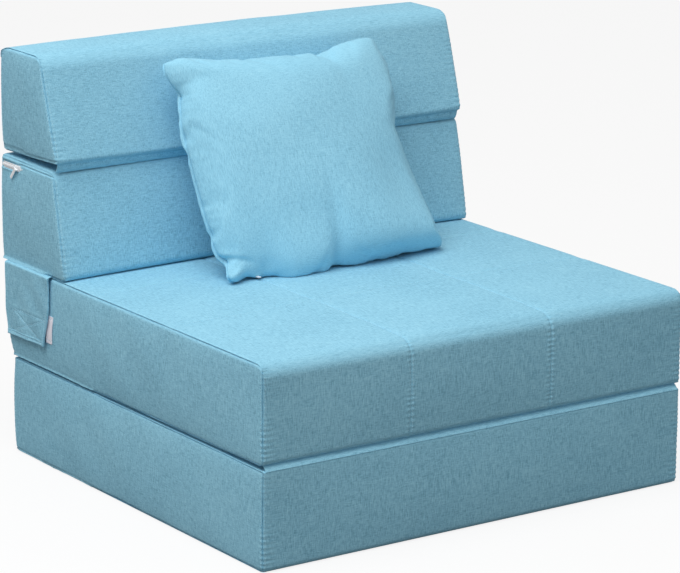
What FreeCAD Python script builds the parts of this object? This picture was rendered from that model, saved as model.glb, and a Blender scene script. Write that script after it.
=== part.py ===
import FreeCAD, Part
import math
import os
import re
import Sketcher

# Fold-out chair bed: two full slabs, two back blocks and a loose pillow, each a foam core in a sewn cover.
# Frame: origin at the floor under the middle of the base slab, front towards -Y, top towards +Z.

Vector = FreeCAD.Vector

SIZES = {
    # The two full slabs, measured along their sewn edges
    "slab_width": 750.0,
    "slab_depth": 694.0,
    "base_thick": 148.0,
    "seat_thick": 145.4,
    "slab_gap": 7.3,
    # The two back blocks
    "back_setback": 29.0,
    "low_depth_low": 190.0,
    "low_depth_high": 157.0,
    "low_tall": 158.0,
    "block_gap": 16.0,
    "head_depth_low": 166.0,
    "head_depth_high": 119.0,
    "head_tall": 154.0,
    "head_inset": 4.0,
    # How far each face stands proud of its sewn edges at its middle
    "side_crown": 4.0,
    "front_crown": 4.0,
    "rear_crown": 8.0,
    "seat_crown": 6.0,
    "low_front_crown": 7.0,
    "back_rear_crown": 3.5,
    "head_front_crown": 2.0,
    "head_crown": 4.0,
    # Roundings of the covers
    "seam_round": 7.0,
    "edge_round": 9.0,
    "wrap_round": 22.0,
    "low_round": 12.0,
    "head_round": 30.0,
    # Cover walls and running clearances
    "wall": 3.0,
    "clearance": 0.3,
    "overrun": 12.0,
    # Sewn channels of the quilted seat
    "quilt_line_x": 125.0,
    "quilt_line_y": 105.0,
    "quilt_line_wide": 4.0,
    "quilt_line_deep": 1.2,
    # Zips round the rear of each block
    "zip_margin": 8.0,
    "zip_wide": 9.0,
    "zip_recess": 0.5,
    "zip_side_reach": 240.0,
    "low_zip_side_reach": 70.0,
    "slider_long": 11.0,
    "slider_wide": 7.0,
    "slider_thick": 2.0,
    "slider_from_end": 18.0,
    "lug_thick": 1.0,
    "pin_round": 0.7,
    "pin_fit": 0.15,
    "pull_wide": 5.0,
    "pull_thick": 1.2,
    "pull_long": 21.0,
    "pull_wall": 0.75,
    "pull_tilt": 40.0,
    "pull_tilt_flat": 70.0,
    # Fabric strips that hinge the blocks
    "strip_thick": 1.2,
    "strip_end_inset": 6.0,
    "strip_setback": 6.0,
    "strip_room": 0.9,
    "rear_strip_deep": 36.0,
    "neck_setback": 3.0,
    # Side straps with hook and loop
    "strap_thick": 2.0,
    "strap_room": 0.8,
    "strap_wide": 130.0,
    "strap_rear_inset": 20.0,
    "strap_slant": 13.0,
    "strap_low": 189.0,
    "patch_thick": 1.2,
    "patch_margin": 8.0,
    "patch_tall": 42.0,
    "label_wide": 16.0,
    "label_tall": 43.0,
    "label_thick": 0.8,
    "label_low": 199.0,
    # Pillow
    "pillow_base_wide": 400.0,
    "pillow_top_wide": 372.0,
    "pillow_top_shift": -26.0,
    "pillow_tall": 348.0,
    "pillow_thick": 137.0,
    "pillow_rim": 3.0,
    "pillow_draw": 14.0,
    "pillow_wall": 2.0,
    "pillow_x": 25.0,
    "pillow_stand_off": 160.0,
    "pillow_lean": 25.5,
    "pillow_zip_left_inset": 32.0,
    "pillow_zip_right_inset": 66.0,
    "pillow_zip_deep": 5.3,
    "pillow_zip_thick": 2.2,
}

# Places that follow from the sizes above.
PLACES = {
    "half_width": "slab_width / 2",
    "slab_front": "-slab_depth / 2",
    "slab_rear": "slab_depth / 2",
    "mate_crown": "(slab_gap - clearance) / 2",
    "stack_crown": "(block_gap - clearance) / 2",
    "seat_low": "base_thick + slab_gap",
    "seat_high": "seat_low + seat_thick",
    "back_rear": "slab_rear + back_setback",
    "low_front_low": "back_rear - low_depth_low",
    "low_front_high": "back_rear - low_depth_high",
    "low_share": "(low_front_low - slab_front) / slab_depth",
    "low_low": "seat_high + 4 * seat_crown * low_share * (1 - low_share) + clearance",
    "low_high": "low_low + low_tall",
    "head_rear": "back_rear - head_inset",
    "head_low": "low_high + block_gap",
    "head_high": "head_low + head_tall",
    "head_front_low": "head_rear - head_depth_low",
    "head_front_high": "head_rear - head_depth_high",
    "neck_front": "low_front_high + neck_setback",
    "neck_share_low": "(neck_setback + strip_thick) / low_depth_high",
    "neck_share_high": "(neck_front + strip_thick - head_front_low) / head_depth_low",
    "neck_low": "low_high + 4 * stack_crown * neck_share_low * (1 - neck_share_low) + strip_room",
    "neck_high": "head_low - 4 * stack_crown * neck_share_high * (1 - neck_share_high) - strip_room",
    "slider_out": "clearance + slider_thick",
    "eye_round": "pin_round + pin_fit + pull_wall",
    "pin_out": "slider_out + clearance + eye_round",
    "strap_rear": "back_rear - strap_rear_inset",
    "strap_front": "strap_rear - strap_wide",
    "patch_low": "strap_low + patch_margin",
    "patch_high": "patch_low + patch_tall",
    "patch_front": "strap_front + strap_slant + patch_margin",
    "patch_rear": "slab_rear - seam_round",
    "patch_share": "(patch_front - slab_front) / slab_depth",
    "loop_out": "half_width + 4 * side_crown * patch_share * (1 - patch_share) + patch_thick",
    "hook_in": "loop_out + clearance",
    "strap_in": "hook_in + patch_thick",
    "strap_mid": "strap_in + strap_thick / 2",
    "strap_reach": "(seam_round + strap_room + strap_thick / 2) * sqrt(0.5)",
    "strap_pivot_x": "half_width - seam_round + strap_reach",
    "strap_pivot_z": "low_low + seam_round - strap_reach",
    "strap_knee": "strap_pivot_z - strap_mid + strap_pivot_x",
    "strap_mitre": "strap_thick / 2 * (sqrt(2) - 1)",
    "strap_end": "strap_thick / 2 * sqrt(0.5)",
    "label_rear": "strap_front + strap_slant - clearance",
    "label_front": "label_rear - label_wide",
    "label_share": "(label_front - slab_front) / slab_depth",
    "label_out": "half_width + 4 * side_crown * label_share * (1 - label_share) + label_thick",
    "pillow_y": "head_front_low - pillow_stand_off",
    "pillow_share_x": "(pillow_x - pillow_base_wide / 2 + half_width) / slab_width",
    "pillow_share_y": "(pillow_y - slab_front) / slab_depth",
    "pillow_rise": "16 * seat_crown * pillow_share_x * (1 - pillow_share_x)"
                   " * pillow_share_y * (1 - pillow_share_y)",
    "pillow_low": "seat_high + pillow_rise + 3 * clearance",
    "pillow_zip_long": "pillow_base_wide - pillow_zip_left_inset - pillow_zip_right_inset",
    "pillow_zip_share": "pillow_zip_left_inset / pillow_base_wide",
}

# Each block: side-view corners (front low, front high, rear high, rear low), the roundings of those
# corners, the crowns of the faces that start at them (front, top, rear, bottom), and its zip.
BLOCKS = {
    "base": {
        "corners": [("slab_front", "0"), ("slab_front", "base_thick"),
                    ("slab_rear", "base_thick"), ("slab_rear", "0")],
        "rounds": ["edge_round", "edge_round", "edge_round", "edge_round"],
        "crowns": ["front_crown", "mate_crown", "rear_crown", "0"],
        "zip": {"low": "zip_margin", "reach": "zip_side_reach", "side": 1, "tilt": "pull_tilt_flat"},
    },
    "seat": {
        "corners": [("slab_front", "seat_low"), ("slab_front", "seat_high"),
                    ("slab_rear", "seat_high"), ("slab_rear", "seat_low")],
        "rounds": ["edge_round", "wrap_round", "edge_round", "edge_round"],
        "crowns": ["front_crown", "seat_crown", "rear_crown", "mate_crown"],
        "zip": {"low": "seat_low + zip_margin", "reach": "zip_side_reach", "side": 1,
                "tilt": "pull_tilt_flat"},
    },
    "lower_back": {
        "corners": [("low_front_low", "low_low"), ("low_front_high", "low_high"),
                    ("back_rear", "low_high"), ("back_rear", "low_low")],
        "rounds": ["low_round", "low_round", "edge_round", "edge_round"],
        "crowns": ["low_front_crown", "stack_crown", "back_rear_crown", "0"],
        "zip": {"low": "low_high - zip_margin - zip_wide", "reach": "low_zip_side_reach", "side": -1,
                "tilt": "pull_tilt"},
    },
    "upper_back": {
        "corners": [("head_front_low", "head_low"), ("head_front_high", "head_high"),
                    ("head_rear", "head_high"), ("head_rear", "head_low")],
        "rounds": ["edge_round", "wrap_round", "head_round", "edge_round"],
        "crowns": ["head_front_crown", "head_crown", "back_rear_crown", "stack_crown"],
        "zip": {"low": "head_low + zip_margin", "reach": "low_zip_side_reach", "side": 1,
                "tilt": "pull_tilt_flat"},
    },
}

doc = FreeCAD.newDocument("chair_bed")
sheet = doc.addObject("Spreadsheet::Sheet", "Sizes")


def fill_sheet():
    """Write every size, and every place that follows from the sizes, to a cell with its own alias."""
    rows = [(name, str(value)) for name, value in SIZES.items()]
    rows += [(name, "=" + formula) for name, formula in PLACES.items()]
    for row, (name, text) in enumerate(rows, start=1):
        sheet.set("A%d" % row, name)
        sheet.set("B%d" % row, text)
        sheet.setAlias("B%d" % row, name)
    doc.recompute()


def cells(formula):
    """A formula in size names, written so that another object can be bound to it."""
    def named(match):
        word = match.group()
        return "Sizes." + word if word in SIZES or word in PLACES else word
    return re.sub(r"[a-z_]+", named, formula)


def mm(formula):
    """The value of a formula in size names."""
    return float(sheet.evalExpression(cells(formula)))


def bind(thing, sizes):
    """Tie each named property of a thing to its formula."""
    for prop, formula in sizes.items():
        thing.setExpression(prop, cells(formula))
    return thing


def at_point(thing, x, y, z):
    """Tie a thing's place to three formulas."""
    return bind(thing, {"Placement.Base.x": x, "Placement.Base.y": y, "Placement.Base.z": z})


def labelled(thing, label):
    """Name a finished sub-part."""
    thing.Label = label
    return thing


def box(name, low, high):
    """A box between two corners, each given by three formulas."""
    thing = doc.addObject("Part::Box", name)
    spans = ["(%s) - (%s)" % (b, a) for a, b in zip(low, high)]
    bind(thing, dict(zip(("Length", "Width", "Height"), spans)))
    return at_point(thing, *low)


def cylinder_along_y(name, radius, length, x, y, z):
    """A cylinder that starts at a point and runs along +Y."""
    thing = doc.addObject("Part::Cylinder", name)
    thing.Placement = FreeCAD.Placement(Vector(), FreeCAD.Rotation(Vector(1, 0, 0), -90))
    bind(thing, {"Radius": radius, "Height": length})
    return at_point(thing, x, y, z)


def joined(name, shapes):
    """Several shapes as one."""
    thing = doc.addObject("Part::MultiFuse", name)
    thing.Shapes = shapes
    return thing


def taken(kind, name, base, tool):
    """A Part::Cut or Part::Common of two shapes."""
    thing = doc.addObject("Part::" + kind, name)
    thing.Base = base
    thing.Tool = tool
    return thing


def plane(body, role):
    """A body's own origin plane."""
    return next(f for f in body.Origin.OriginFeatures if f.Role == role)


def outline(body, name, role, corners, offset=None):
    """A closed sketch through corners given by formulas, on the body's own plane."""
    sketch = body.newObject("Sketcher::SketchObject", name)
    sketch.AttachmentSupport = [(plane(body, role), "")]
    sketch.MapMode = "FlatFace"
    if offset:
        bind(sketch, {"AttachmentOffset.Base.z": offset})
    points = [Vector(mm(a), mm(b), 0) for a, b in corners]
    count = len(points)
    for i in range(count):
        sketch.addGeometry(Part.LineSegment(points[i], points[(i + 1) % count]), False)
    for i in range(count):
        sketch.addConstraint(Sketcher.Constraint("Coincident", i, 2, (i + 1) % count, 1))
    for i, corner in enumerate(corners):
        for kind, formula in zip(("DistanceX", "DistanceY"), corner):
            if formula == "0":
                k = sketch.addConstraint(Sketcher.Constraint("PointOnObject", i, 1, -1))
                continue
            k = sketch.addConstraint(Sketcher.Constraint(kind, -1, 1, i, 1, mm(formula)))
            bind(sketch, {"Constraints[%d]" % k: formula})
    doc.recompute()
    return sketch


def pad(body, name, sketch, length, side="One side"):
    """Extrude a sketch by a formula's length."""
    feature = body.newObject("PartDesign::Pad", name)
    feature.Profile = sketch
    feature.SideType = side
    bind(feature, {"Length": length})
    doc.recompute()
    return feature


def middle(edge):
    """The point halfway along an edge."""
    return edge.valueAt((edge.FirstParameter + edge.LastParameter) / 2)


def rounded(body, name, radius, wanted):
    """Round the edges of a body whose middles pass a test."""
    base = body.Tip
    names = ["Edge%d" % (i + 1) for i, edge in enumerate(base.Shape.Edges) if wanted(middle(edge))]
    feature = body.newObject("PartDesign::Fillet", name)
    feature.Base = (base, names)
    bind(feature, {"Radius": radius})
    doc.recompute()
    return feature


def foam(name, block, inset):
    """A straight-cut block that stands inside a cover by an inset, its edges eased to follow the cover."""
    body = doc.addObject("PartDesign::Body", name)
    signs = [(1, 1), (1, -1), (-1, -1), (-1, 1)]
    corners = [("%s + %d * (%s)" % (y, a, inset), "%s + %d * (%s)" % (z, b, inset))
               for (y, z), (a, b) in zip(block["corners"], signs)]
    sketch = outline(body, name + "_side_view", "YZ_Plane", corners)
    pad(body, name + "_width", sketch, "slab_width - 2 * (%s)" % inset, "Symmetric")
    for i, (corner, radius) in enumerate(zip(corners, block["rounds"])):
        spot = Vector(0, mm(corner[0]), mm(corner[1]))
        rounded(body, "%s_edge_%d" % (name, i), "%s - (%s)" % (radius, inset),
                lambda p, spot=spot: p.distanceToPoint(spot) < mm("wall"))
    end = mm("half_width - (%s)" % inset)
    rounded(body, name + "_ends", "seam_round - (%s)" % inset,
            lambda p: abs(abs(p.x) - end) < mm("clearance"))
    return body


def crowned_face(quad, outward, crown):
    """A face on four straight edges whose middle stands proud by its crown, or a flat one."""
    a, b, c, d = quad
    if crown == 0:
        face = Part.Face(Part.makePolygon([a, b, c, d, a]))
        return face if face.normalAt(0, 0).dot(outward) > 0 else face.reversed()
    centre = (a + b + c + d) * 0.25 + outward * (4 * crown)
    rows = [[a, (a + d) * 0.5, d], [(a + b) * 0.5, centre, (c + d) * 0.5], [b, (b + c) * 0.5, c]]
    surface = Part.BSplineSurface()
    surface.buildFromPolesMultsKnots(rows, [3, 3], [3, 3], [0, 1], [0, 1], False, False, 2, 2)
    for knot in (0.25, 0.5, 0.75):
        surface.insertUKnot(knot, 1, 0)
        surface.insertVKnot(knot, 1, 0)
    face = surface.toShape()
    if face.normalAt(0.5, 0.5).dot(outward) < 0:
        face.reverse()
    return face


def crowned_solid(corners, half_width, crowns, side_crown):
    """A six-sided solid on side-view corners, each face domed by its own crown."""
    left = [Vector(-half_width, y, z) for y, z in corners]
    right = [Vector(half_width, y, z) for y, z in corners]
    heart = sum(left + right, Vector()) * 0.125
    quads = [[left[i], left[i - 3], right[i - 3], right[i]] for i in range(4)] + [left, right]
    faces = []
    for quad, crown in zip(quads, crowns + [side_crown] * 2):
        outward = (quad[1] - quad[0]).cross(quad[2] - quad[1]).normalize()
        if outward.dot(quad[0] - heart) < 0:
            outward = outward * -1
        faces.append(crowned_face(quad, outward, crown))
    shell = Part.Shell(faces)
    shell.sewShape()
    return Part.Solid(shell)


def cover_form(name, block, inset="0"):
    """The outer form of a block's cover: domed faces with every sewn edge rounded."""
    drop = mm(inset)
    signs = [(1, 1), (1, -1), (-1, -1), (-1, 1)]
    corners = [(mm(y) + a * drop, mm(z) + b * drop)
               for (y, z), (a, b) in zip(block["corners"], signs)]
    crowns = [mm(crown) for crown in block["crowns"]]
    domed = doc.addObject("Part::Feature", name + "_domed")
    domed.Shape = crowned_solid(corners, mm("half_width") - drop, crowns, mm("side_crown"))
    doc.recompute()
    form = doc.addObject("Part::Fillet", name + "_form")
    form.Base = domed
    edges = []
    for i, edge in enumerate(domed.Shape.Edges):
        radius = mm("seam_round")
        for (y, z), rounding in zip(corners, block["rounds"]):
            if middle(edge).distanceToPoint(Vector(0, y, z)) < mm("wall"):
                radius = mm(rounding)
        edges.append((i + 1, radius - drop, radius - drop))
    form.Edges = edges
    return form


def quilted(form, block):
    """Press the sewn channels into the seat's top and front."""
    inner = cover_form("quilt_floor", block, "quilt_line_deep")
    half = "quilt_line_wide / 2"
    blades = []
    for i, side in enumerate(("-", "")):
        x = "%squilt_line_x" % side
        blades.append(box("quilt_long_%d" % i,
                          ("%s - %s" % (x, half), "slab_front - overrun", "seat_low + edge_round"),
                          ("%s + %s" % (x, half), "slab_rear - edge_round", "seat_high + overrun")))
        y = "%squilt_line_y" % side
        blades.append(box("quilt_cross_%d" % i,
                          ("-half_width + seam_round", "%s - %s" % (y, half), "seat_high - overrun"),
                          ("half_width - seam_round", "%s + %s" % (y, half), "seat_high + overrun")))
    channels = taken("Cut", "quilt_channels", joined("quilt_blades", blades), inner)
    return taken("Cut", "quilted_form", form, channels)


def zip_band(name, block, outer, inner):
    """A band round a block's rear and the rear part of its sides, between two distances from its faces."""
    rear = block["corners"][3][0]
    start = "%s - %s" % (rear, block["zip"]["reach"])
    body = doc.addObject("PartDesign::Body", name)
    corners = [("-half_width + (%s)" % outer, start), ("-half_width + (%s)" % inner, start),
               ("-half_width + (%s)" % inner, "%s - (%s)" % (rear, inner)),
               ("half_width - (%s)" % inner, "%s - (%s)" % (rear, inner)),
               ("half_width - (%s)" % inner, start), ("half_width - (%s)" % outer, start),
               ("half_width - (%s)" % outer, "%s - (%s)" % (rear, outer)),
               ("-half_width + (%s)" % outer, "%s - (%s)" % (rear, outer))]
    sketch = outline(body, name + "_plan", "XY_Plane", corners, block["zip"]["low"])
    pad(body, name + "_height", sketch, "zip_wide")
    return body


def zip_chain(name, block):
    """The zip itself, bent round the block's two rear corners."""
    body = zip_band(name + "_zip", block, "zip_recess", "wall")
    rear = mm(block["corners"][3][0])
    for tag, depth in (("outer", "zip_recess"), ("inner", "wall")):
        x, y = mm("half_width - " + depth), rear - mm(depth)
        rounded(body, "%s_zip_%s" % (name, tag), "seam_round - " + depth,
                lambda p, x=x, y=y: math.hypot(abs(p.x) - x, p.y - y) < mm("clearance"))
    return labelled(body, name + "_zip")


def turned(thing, rotation):
    """Turn a thing about its own origin."""
    thing.Placement = FreeCAD.Placement(Vector(), rotation)
    return thing


def zip_slider(name, tilt):
    """A slider with two lugs and a pin for its pull, built on the zip's outer face and facing +X."""
    half = "slider_long / 2"
    plate = box(name + "_plate", ("clearance", "-" + half, "-slider_wide / 2"),
                ("slider_out", half, "slider_wide / 2"))
    lug_in = "pull_wide / 2 + clearance"
    lugs = []
    for i, (y_low, y_high) in enumerate((("-(%s) - lug_thick" % lug_in, "-(%s)" % lug_in),
                                         (lug_in, "%s + lug_thick" % lug_in))):
        lugs.append(box("%s_lug_%d" % (name, i), ("slider_out - lug_thick", y_low, "-eye_round"),
                        ("pin_out + eye_round", y_high, "eye_round")))
    pin = cylinder_along_y(name + "_pin", "pin_round", "pull_wide + 2 * (clearance + lug_thick)",
                           "pin_out", "-(%s) - lug_thick" % lug_in, "0")
    head = turned(joined(name + "_head", lugs + [pin]), FreeCAD.Rotation(Vector(1, 0, 0), tilt))
    return labelled(joined(name + "_slider", [plate, head]), name + "_zip_slider")


def zip_pull(name):
    """A pull that hangs along -Z from an eye on the slider's pin."""
    eye = cylinder_along_y(name + "_eye", "eye_round", "pull_wide", "0", "-pull_wide / 2", "0")
    tab = box(name + "_tab", ("-pull_thick / 2", "-pull_wide / 2", "-pull_long"),
              ("pull_thick / 2", "pull_wide / 2", "0"))
    bore = cylinder_along_y(name + "_bore", "pin_round + pin_fit", "pull_wide + 2 * overrun",
                            "0", "-pull_wide / 2 - overrun", "0")
    blank = joined(name + "_pull_blank", [eye, tab])
    return labelled(taken("Cut", name + "_pull", blank, bore), name + "_zip_pull")


def block_zip_hardware(name, block):
    """The slider at the closed end of a block's zip, on one side, with its pull."""
    side = block["zip"]["side"]
    tilt = side * mm(block["zip"]["tilt"])
    turn = FreeCAD.Rotation(Vector(0, 0, 1), 90 - 90 * side)
    y = "%s - %s + slider_from_end" % (block["corners"][3][0], block["zip"]["reach"])
    z = "%s + zip_wide / 2" % block["zip"]["low"]
    slider = turned(zip_slider(name, tilt), turn)
    at_point(slider, "%d * (half_width - zip_recess)" % side, y, z)
    pull = turned(zip_pull(name), turn.multiply(FreeCAD.Rotation(Vector(1, 0, 0), tilt)))
    at_point(pull, "%d * (half_width - zip_recess + pin_out)" % side, y, z)


def block_parts(name, block):
    """Core, cover and zip of one block. Returns the cover's outer form."""
    labelled(foam(name + "_core", block, "wall + clearance"), name + "_foam_core")
    form = cover_form(name, block)
    if name == "seat":
        form = quilted(form, block)
    hollow = foam(name + "_hollow", block, "wall")
    shell = taken("Cut", name + "_shell", form, hollow)
    slot = zip_band(name + "_zip_slot", block, "-overrun", "2 * wall")
    labelled(taken("Cut", name + "_cover", shell, slot), name + "_cover")
    zip_chain(name, block)
    block_zip_hardware(name, block)
    return form


def fold_strip(name, section):
    """A strip of cover cloth across the blocks, just short of their ends, on a side-view section."""
    body = doc.addObject("PartDesign::Body", name)
    sketch = outline(body, name + "_section", "YZ_Plane", section)
    pad(body, name + "_cloth", sketch, "slab_width - 2 * strip_end_inset", "Symmetric")
    return labelled(body, name)


def upright_strip(name, front, low, high):
    """A fold strip that stands upright between two levels."""
    rear = front + " + strip_thick"
    return fold_strip(name, [(front, low), (rear, low), (rear, high), (front, high)])


def fold_strips():
    """The strips that the blocks fold on: two at the front, one at the rear under the back."""
    drop = "(edge_round - sqrt(edge_round ^ 2 - (edge_round - strip_setback) ^ 2))"
    upright_strip("seat_fold_strip", "slab_front + strip_setback",
                  "base_thick - %s + strip_room" % drop, "seat_low + %s - strip_room" % drop)
    upright_strip("head_fold_strip", "neck_front", "neck_low", "neck_high")
    rear, front = "back_rear - edge_round", "back_rear - edge_round - rear_strip_deep"
    high, low = "low_low - clearance", "low_low - clearance - strip_thick"
    fold_strip("back_fold_strip", [(front, low), (rear, low), (rear, high), (front, high)])


def side_patch(name, side, form, low, high, outer):
    """A thin patch on the seat's side: flat outside, following the cover inside."""
    near, far = "half_width - wall / 2", outer
    x_low, x_high = (near, far) if side > 0 else ("-(%s)" % far, "-(%s)" % near)
    blank = box(name + "_blank", (x_low,) + low, (x_high,) + high)
    return labelled(taken("Cut", name, blank, form), name)


def strap(name, side):
    """A side strap: it hangs from the lower back's bottom seam and lies along the seat's side."""
    body = doc.addObject("PartDesign::Body", name)
    points = [("strap_mid - strap_thick / 2", "strap_low"), ("strap_mid + strap_thick / 2", "strap_low"),
              ("strap_mid + strap_thick / 2", "strap_knee + strap_mitre"),
              ("strap_pivot_x + strap_end", "strap_pivot_z + strap_end"),
              ("strap_pivot_x - strap_end", "strap_pivot_z - strap_end"),
              ("strap_mid - strap_thick / 2", "strap_knee - strap_mitre")]
    corners = [("%d * (%s)" % (side, x), z) for x, z in points]
    section = outline(body, name + "_section", "XZ_Plane", corners, "-strap_rear")
    pad(body, name + "_web", section, "strap_wide")
    bead = body.newObject("Sketcher::SketchObject", name + "_bead_round")
    bead.AttachmentSupport = [(plane(body, "XZ_Plane"), "")]
    bead.MapMode = "FlatFace"
    bind(bead, {"AttachmentOffset.Base.z": "-strap_rear"})
    spot = ("%d * strap_pivot_x" % side, "strap_pivot_z")
    bead.addGeometry(Part.Circle(Vector(mm(spot[0]), mm(spot[1]), 0), Vector(0, 0, 1),
                                 mm("strap_thick / 2")), False)
    ties = [Sketcher.Constraint("DistanceX", -1, 1, 0, 3, mm(spot[0])),
            Sketcher.Constraint("DistanceY", -1, 1, 0, 3, mm(spot[1])),
            Sketcher.Constraint("Radius", 0, mm("strap_thick / 2"))]
    for tie, formula in zip(ties, spot + ("strap_thick / 2",)):
        k = bead.addConstraint(tie)
        bind(bead, {"Constraints[%d]" % k: formula})
    doc.recompute()
    pad(body, name + "_bead", bead, "strap_wide")
    slant = outline(body, name + "_slant", "YZ_Plane",
                    [("strap_front - overrun", "strap_low - overrun"),
                     ("strap_front + strap_slant", "strap_low - overrun"),
                     ("strap_front + strap_slant", "strap_low"),
                     ("strap_front", "strap_knee"), ("strap_front - overrun", "strap_knee")])
    before = body.Shape.Volume
    trim = body.newObject("PartDesign::Pocket", name + "_trim")
    trim.Profile = slant
    trim.SideType = "Symmetric"
    trim.Type = "ThroughAll"
    doc.recompute()
    if body.Shape.Volume >= before:
        raise RuntimeError(name + ": its slanted edge was not cut")
    return labelled(body, name)


def strap_set(word, side, form):
    """One side's strap with its hook patch, and the loop patch that it fastens to."""
    strap(word + "_strap", side)
    low, high = ("patch_front", "patch_low"), ("patch_rear", "patch_high")
    xs = ("hook_in", "strap_in") if side > 0 else ("-strap_in", "-hook_in")
    labelled(box(word + "_hook_patch", (xs[0],) + low, (xs[1],) + high), word + "_hook_patch")
    side_patch(word + "_loop_patch", side, form, low, high, "loop_out")


def blank_label(form):
    """The bare label sewn to the seat's left side, its rear edge under the strap's front edge."""
    side_patch("blank_label", -1, form, ("label_front", "label_low"),
               ("label_rear", "label_low + label_tall"), "label_out")


FULLNESS = 3.0  # power of the pillow's swell: higher is fuller near the rim
SQUARENESS = 6.0  # power of its drawn-in sides: higher is straighter along the middle
GRID = 12  # spans along each side of a pillow face


def swell(share, power):
    """0 at both ends and 1 in the middle."""
    return 1 - abs(2 * share - 1) ** power


def pillow_point(u, v, inset, half_thick, rim):
    """A point of a pillow face at shares u across and v up, on the side that half_thick's sign gives."""
    draw = mm("pillow_draw")
    base, top, tall = mm("pillow_base_wide"), mm("pillow_top_wide"), mm("pillow_tall")
    width = base + (top - base) * v - 2 * inset
    pulled = 1 - 2 * draw / base * swell(v, SQUARENESS)
    x = mm("pillow_top_shift") * v + width * (u - 0.5) * pulled
    y = inset + (tall - 2 * inset) * (0.5 + (v - 0.5) * (1 - 2 * draw / tall * swell(u, SQUARENESS)))
    z = half_thick * swell(u, FULLNESS) * swell(v, FULLNESS) + rim / 2 * math.copysign(1, half_thick)
    return Vector(x, y, z)


def pillow_solid(inset):
    """A pillow lying in its own plane: two swelled faces with drawn-in sides, joined by a narrow rim."""
    half, rim = mm("pillow_thick / 2") - inset, mm("pillow_rim") - inset
    shares = [i / GRID for i in range(GRID + 1)]
    faces = []
    for sign in (1, -1):
        grid = [[pillow_point(u, v, 3 * inset, sign * half, rim) for v in shares] for u in shares]
        surface = Part.BSplineSurface()
        surface.interpolate(grid)
        faces.append(surface.toShape())
    front, back = faces
    for edge in front.Edges:
        twin = min(back.Edges, key=lambda e: middle(e).distanceToPoint(middle(edge)))
        faces.append(Part.makeRuledSurface(edge, twin))
    shell = Part.Shell(faces)
    shell.sewShape()
    solid = Part.Solid(shell)
    return solid if solid.Volume > 0 else solid.reversed()


def on_pillow(thing, spot=Vector(), turn=FreeCAD.Rotation()):
    """Move a thing from the pillow's own plane to where the pillow leans on the back."""
    lean = FreeCAD.Rotation(Vector(1, 0, 0), 90 - mm("pillow_lean"))
    base = Vector(mm("pillow_x"), mm("pillow_y"), mm("pillow_low")) + lean.multVec(spot)
    thing.Placement = FreeCAD.Placement(base, lean.multiply(turn))
    return thing


def pillow_form(name, inset):
    """A pillow-shaped feature where the pillow leans."""
    thing = doc.addObject("Part::Feature", name)
    thing.Shape = pillow_solid(mm(inset))
    return on_pillow(thing)


def pillow_parts():
    """The pillow: filling, cover, and the zip in its bottom seam with slider and pull."""
    labelled(pillow_form("pillow_filling", "pillow_wall + clearance"), "pillow_filling")
    outer = pillow_form("pillow_outer", "0")
    hollow = pillow_form("pillow_hollow", "pillow_wall")
    shell = taken("Cut", "pillow_shell", outer, hollow)
    end = mm("pillow_zip_left_inset - pillow_base_wide / 2")
    drop = mm("pillow_draw") * swell(mm("pillow_zip_share"), SQUARENESS)
    tape = doc.addObject("Part::Box", "pillow_zip")
    bind(tape, {"Length": "pillow_zip_long", "Width": "pillow_zip_deep", "Height": "pillow_zip_thick"})
    on_pillow(tape, Vector(end, drop, -mm("pillow_zip_thick / 2")))
    labelled(tape, "pillow_zip")
    labelled(taken("Cut", "pillow_cover", shell, tape), "pillow_cover")
    down = FreeCAD.Rotation(Vector(0, -1, 0), Vector(-1, 0, 0), Vector(0, 0, -1), "XYZ")
    spot = Vector(end + mm("slider_long"), drop, 0)
    on_pillow(zip_slider("pillow", 0), spot, down)
    level = down.multiply(FreeCAD.Rotation(Vector(0, 1, 0), -mm("pillow_lean")))
    on_pillow(zip_pull("pillow"), spot - Vector(0, mm("pin_out"), 0), level)


def checked_parts():
    """Every labelled sub-part, after the whole document has been tested."""
    doc.recompute()
    for thing in doc.Objects:
        if any(word in ("Invalid", "Error") for word in thing.State):
            raise RuntimeError(thing.Name + " failed: " + ", ".join(thing.State))
    parts = {}
    for thing in doc.Objects:
        if thing.Label in NODES:
            shape = thing.Shape
            if shape.isNull() or not shape.isValid() or not shape.Solids:
                raise RuntimeError(thing.Label + " has no valid solid")
            parts[thing.Label] = shape
    missing = [name for name in NODES if name not in parts]
    if missing:
        raise RuntimeError("not made: " + ", ".join(missing))
    return parts


NODES = [name + tail for name in BLOCKS
         for tail in ("_foam_core", "_cover", "_zip", "_zip_slider", "_zip_pull")]
NODES += ["seat_fold_strip", "back_fold_strip", "head_fold_strip", "blank_label"]
NODES += [word + tail for word in ("left", "right") for tail in ("_strap", "_hook_patch", "_loop_patch")]
NODES += ["pillow_" + tail for tail in ("filling", "cover", "zip", "zip_slider", "zip_pull")]

fill_sheet()
FORMS = {name: block_parts(name, block) for name, block in BLOCKS.items()}
fold_strips()
strap_set("left", -1, FORMS["seat"])
strap_set("right", 1, FORMS["seat"])
blank_label(FORMS["seat"])
pillow_parts()
os.makedirs("parts", exist_ok=True)
for label, shape in checked_parts().items():
    shape.exportStep("parts/%s.step" % label)
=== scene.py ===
import math

import bmesh
import bpy
import numpy as np
from mathutils import Matrix, Vector


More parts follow.
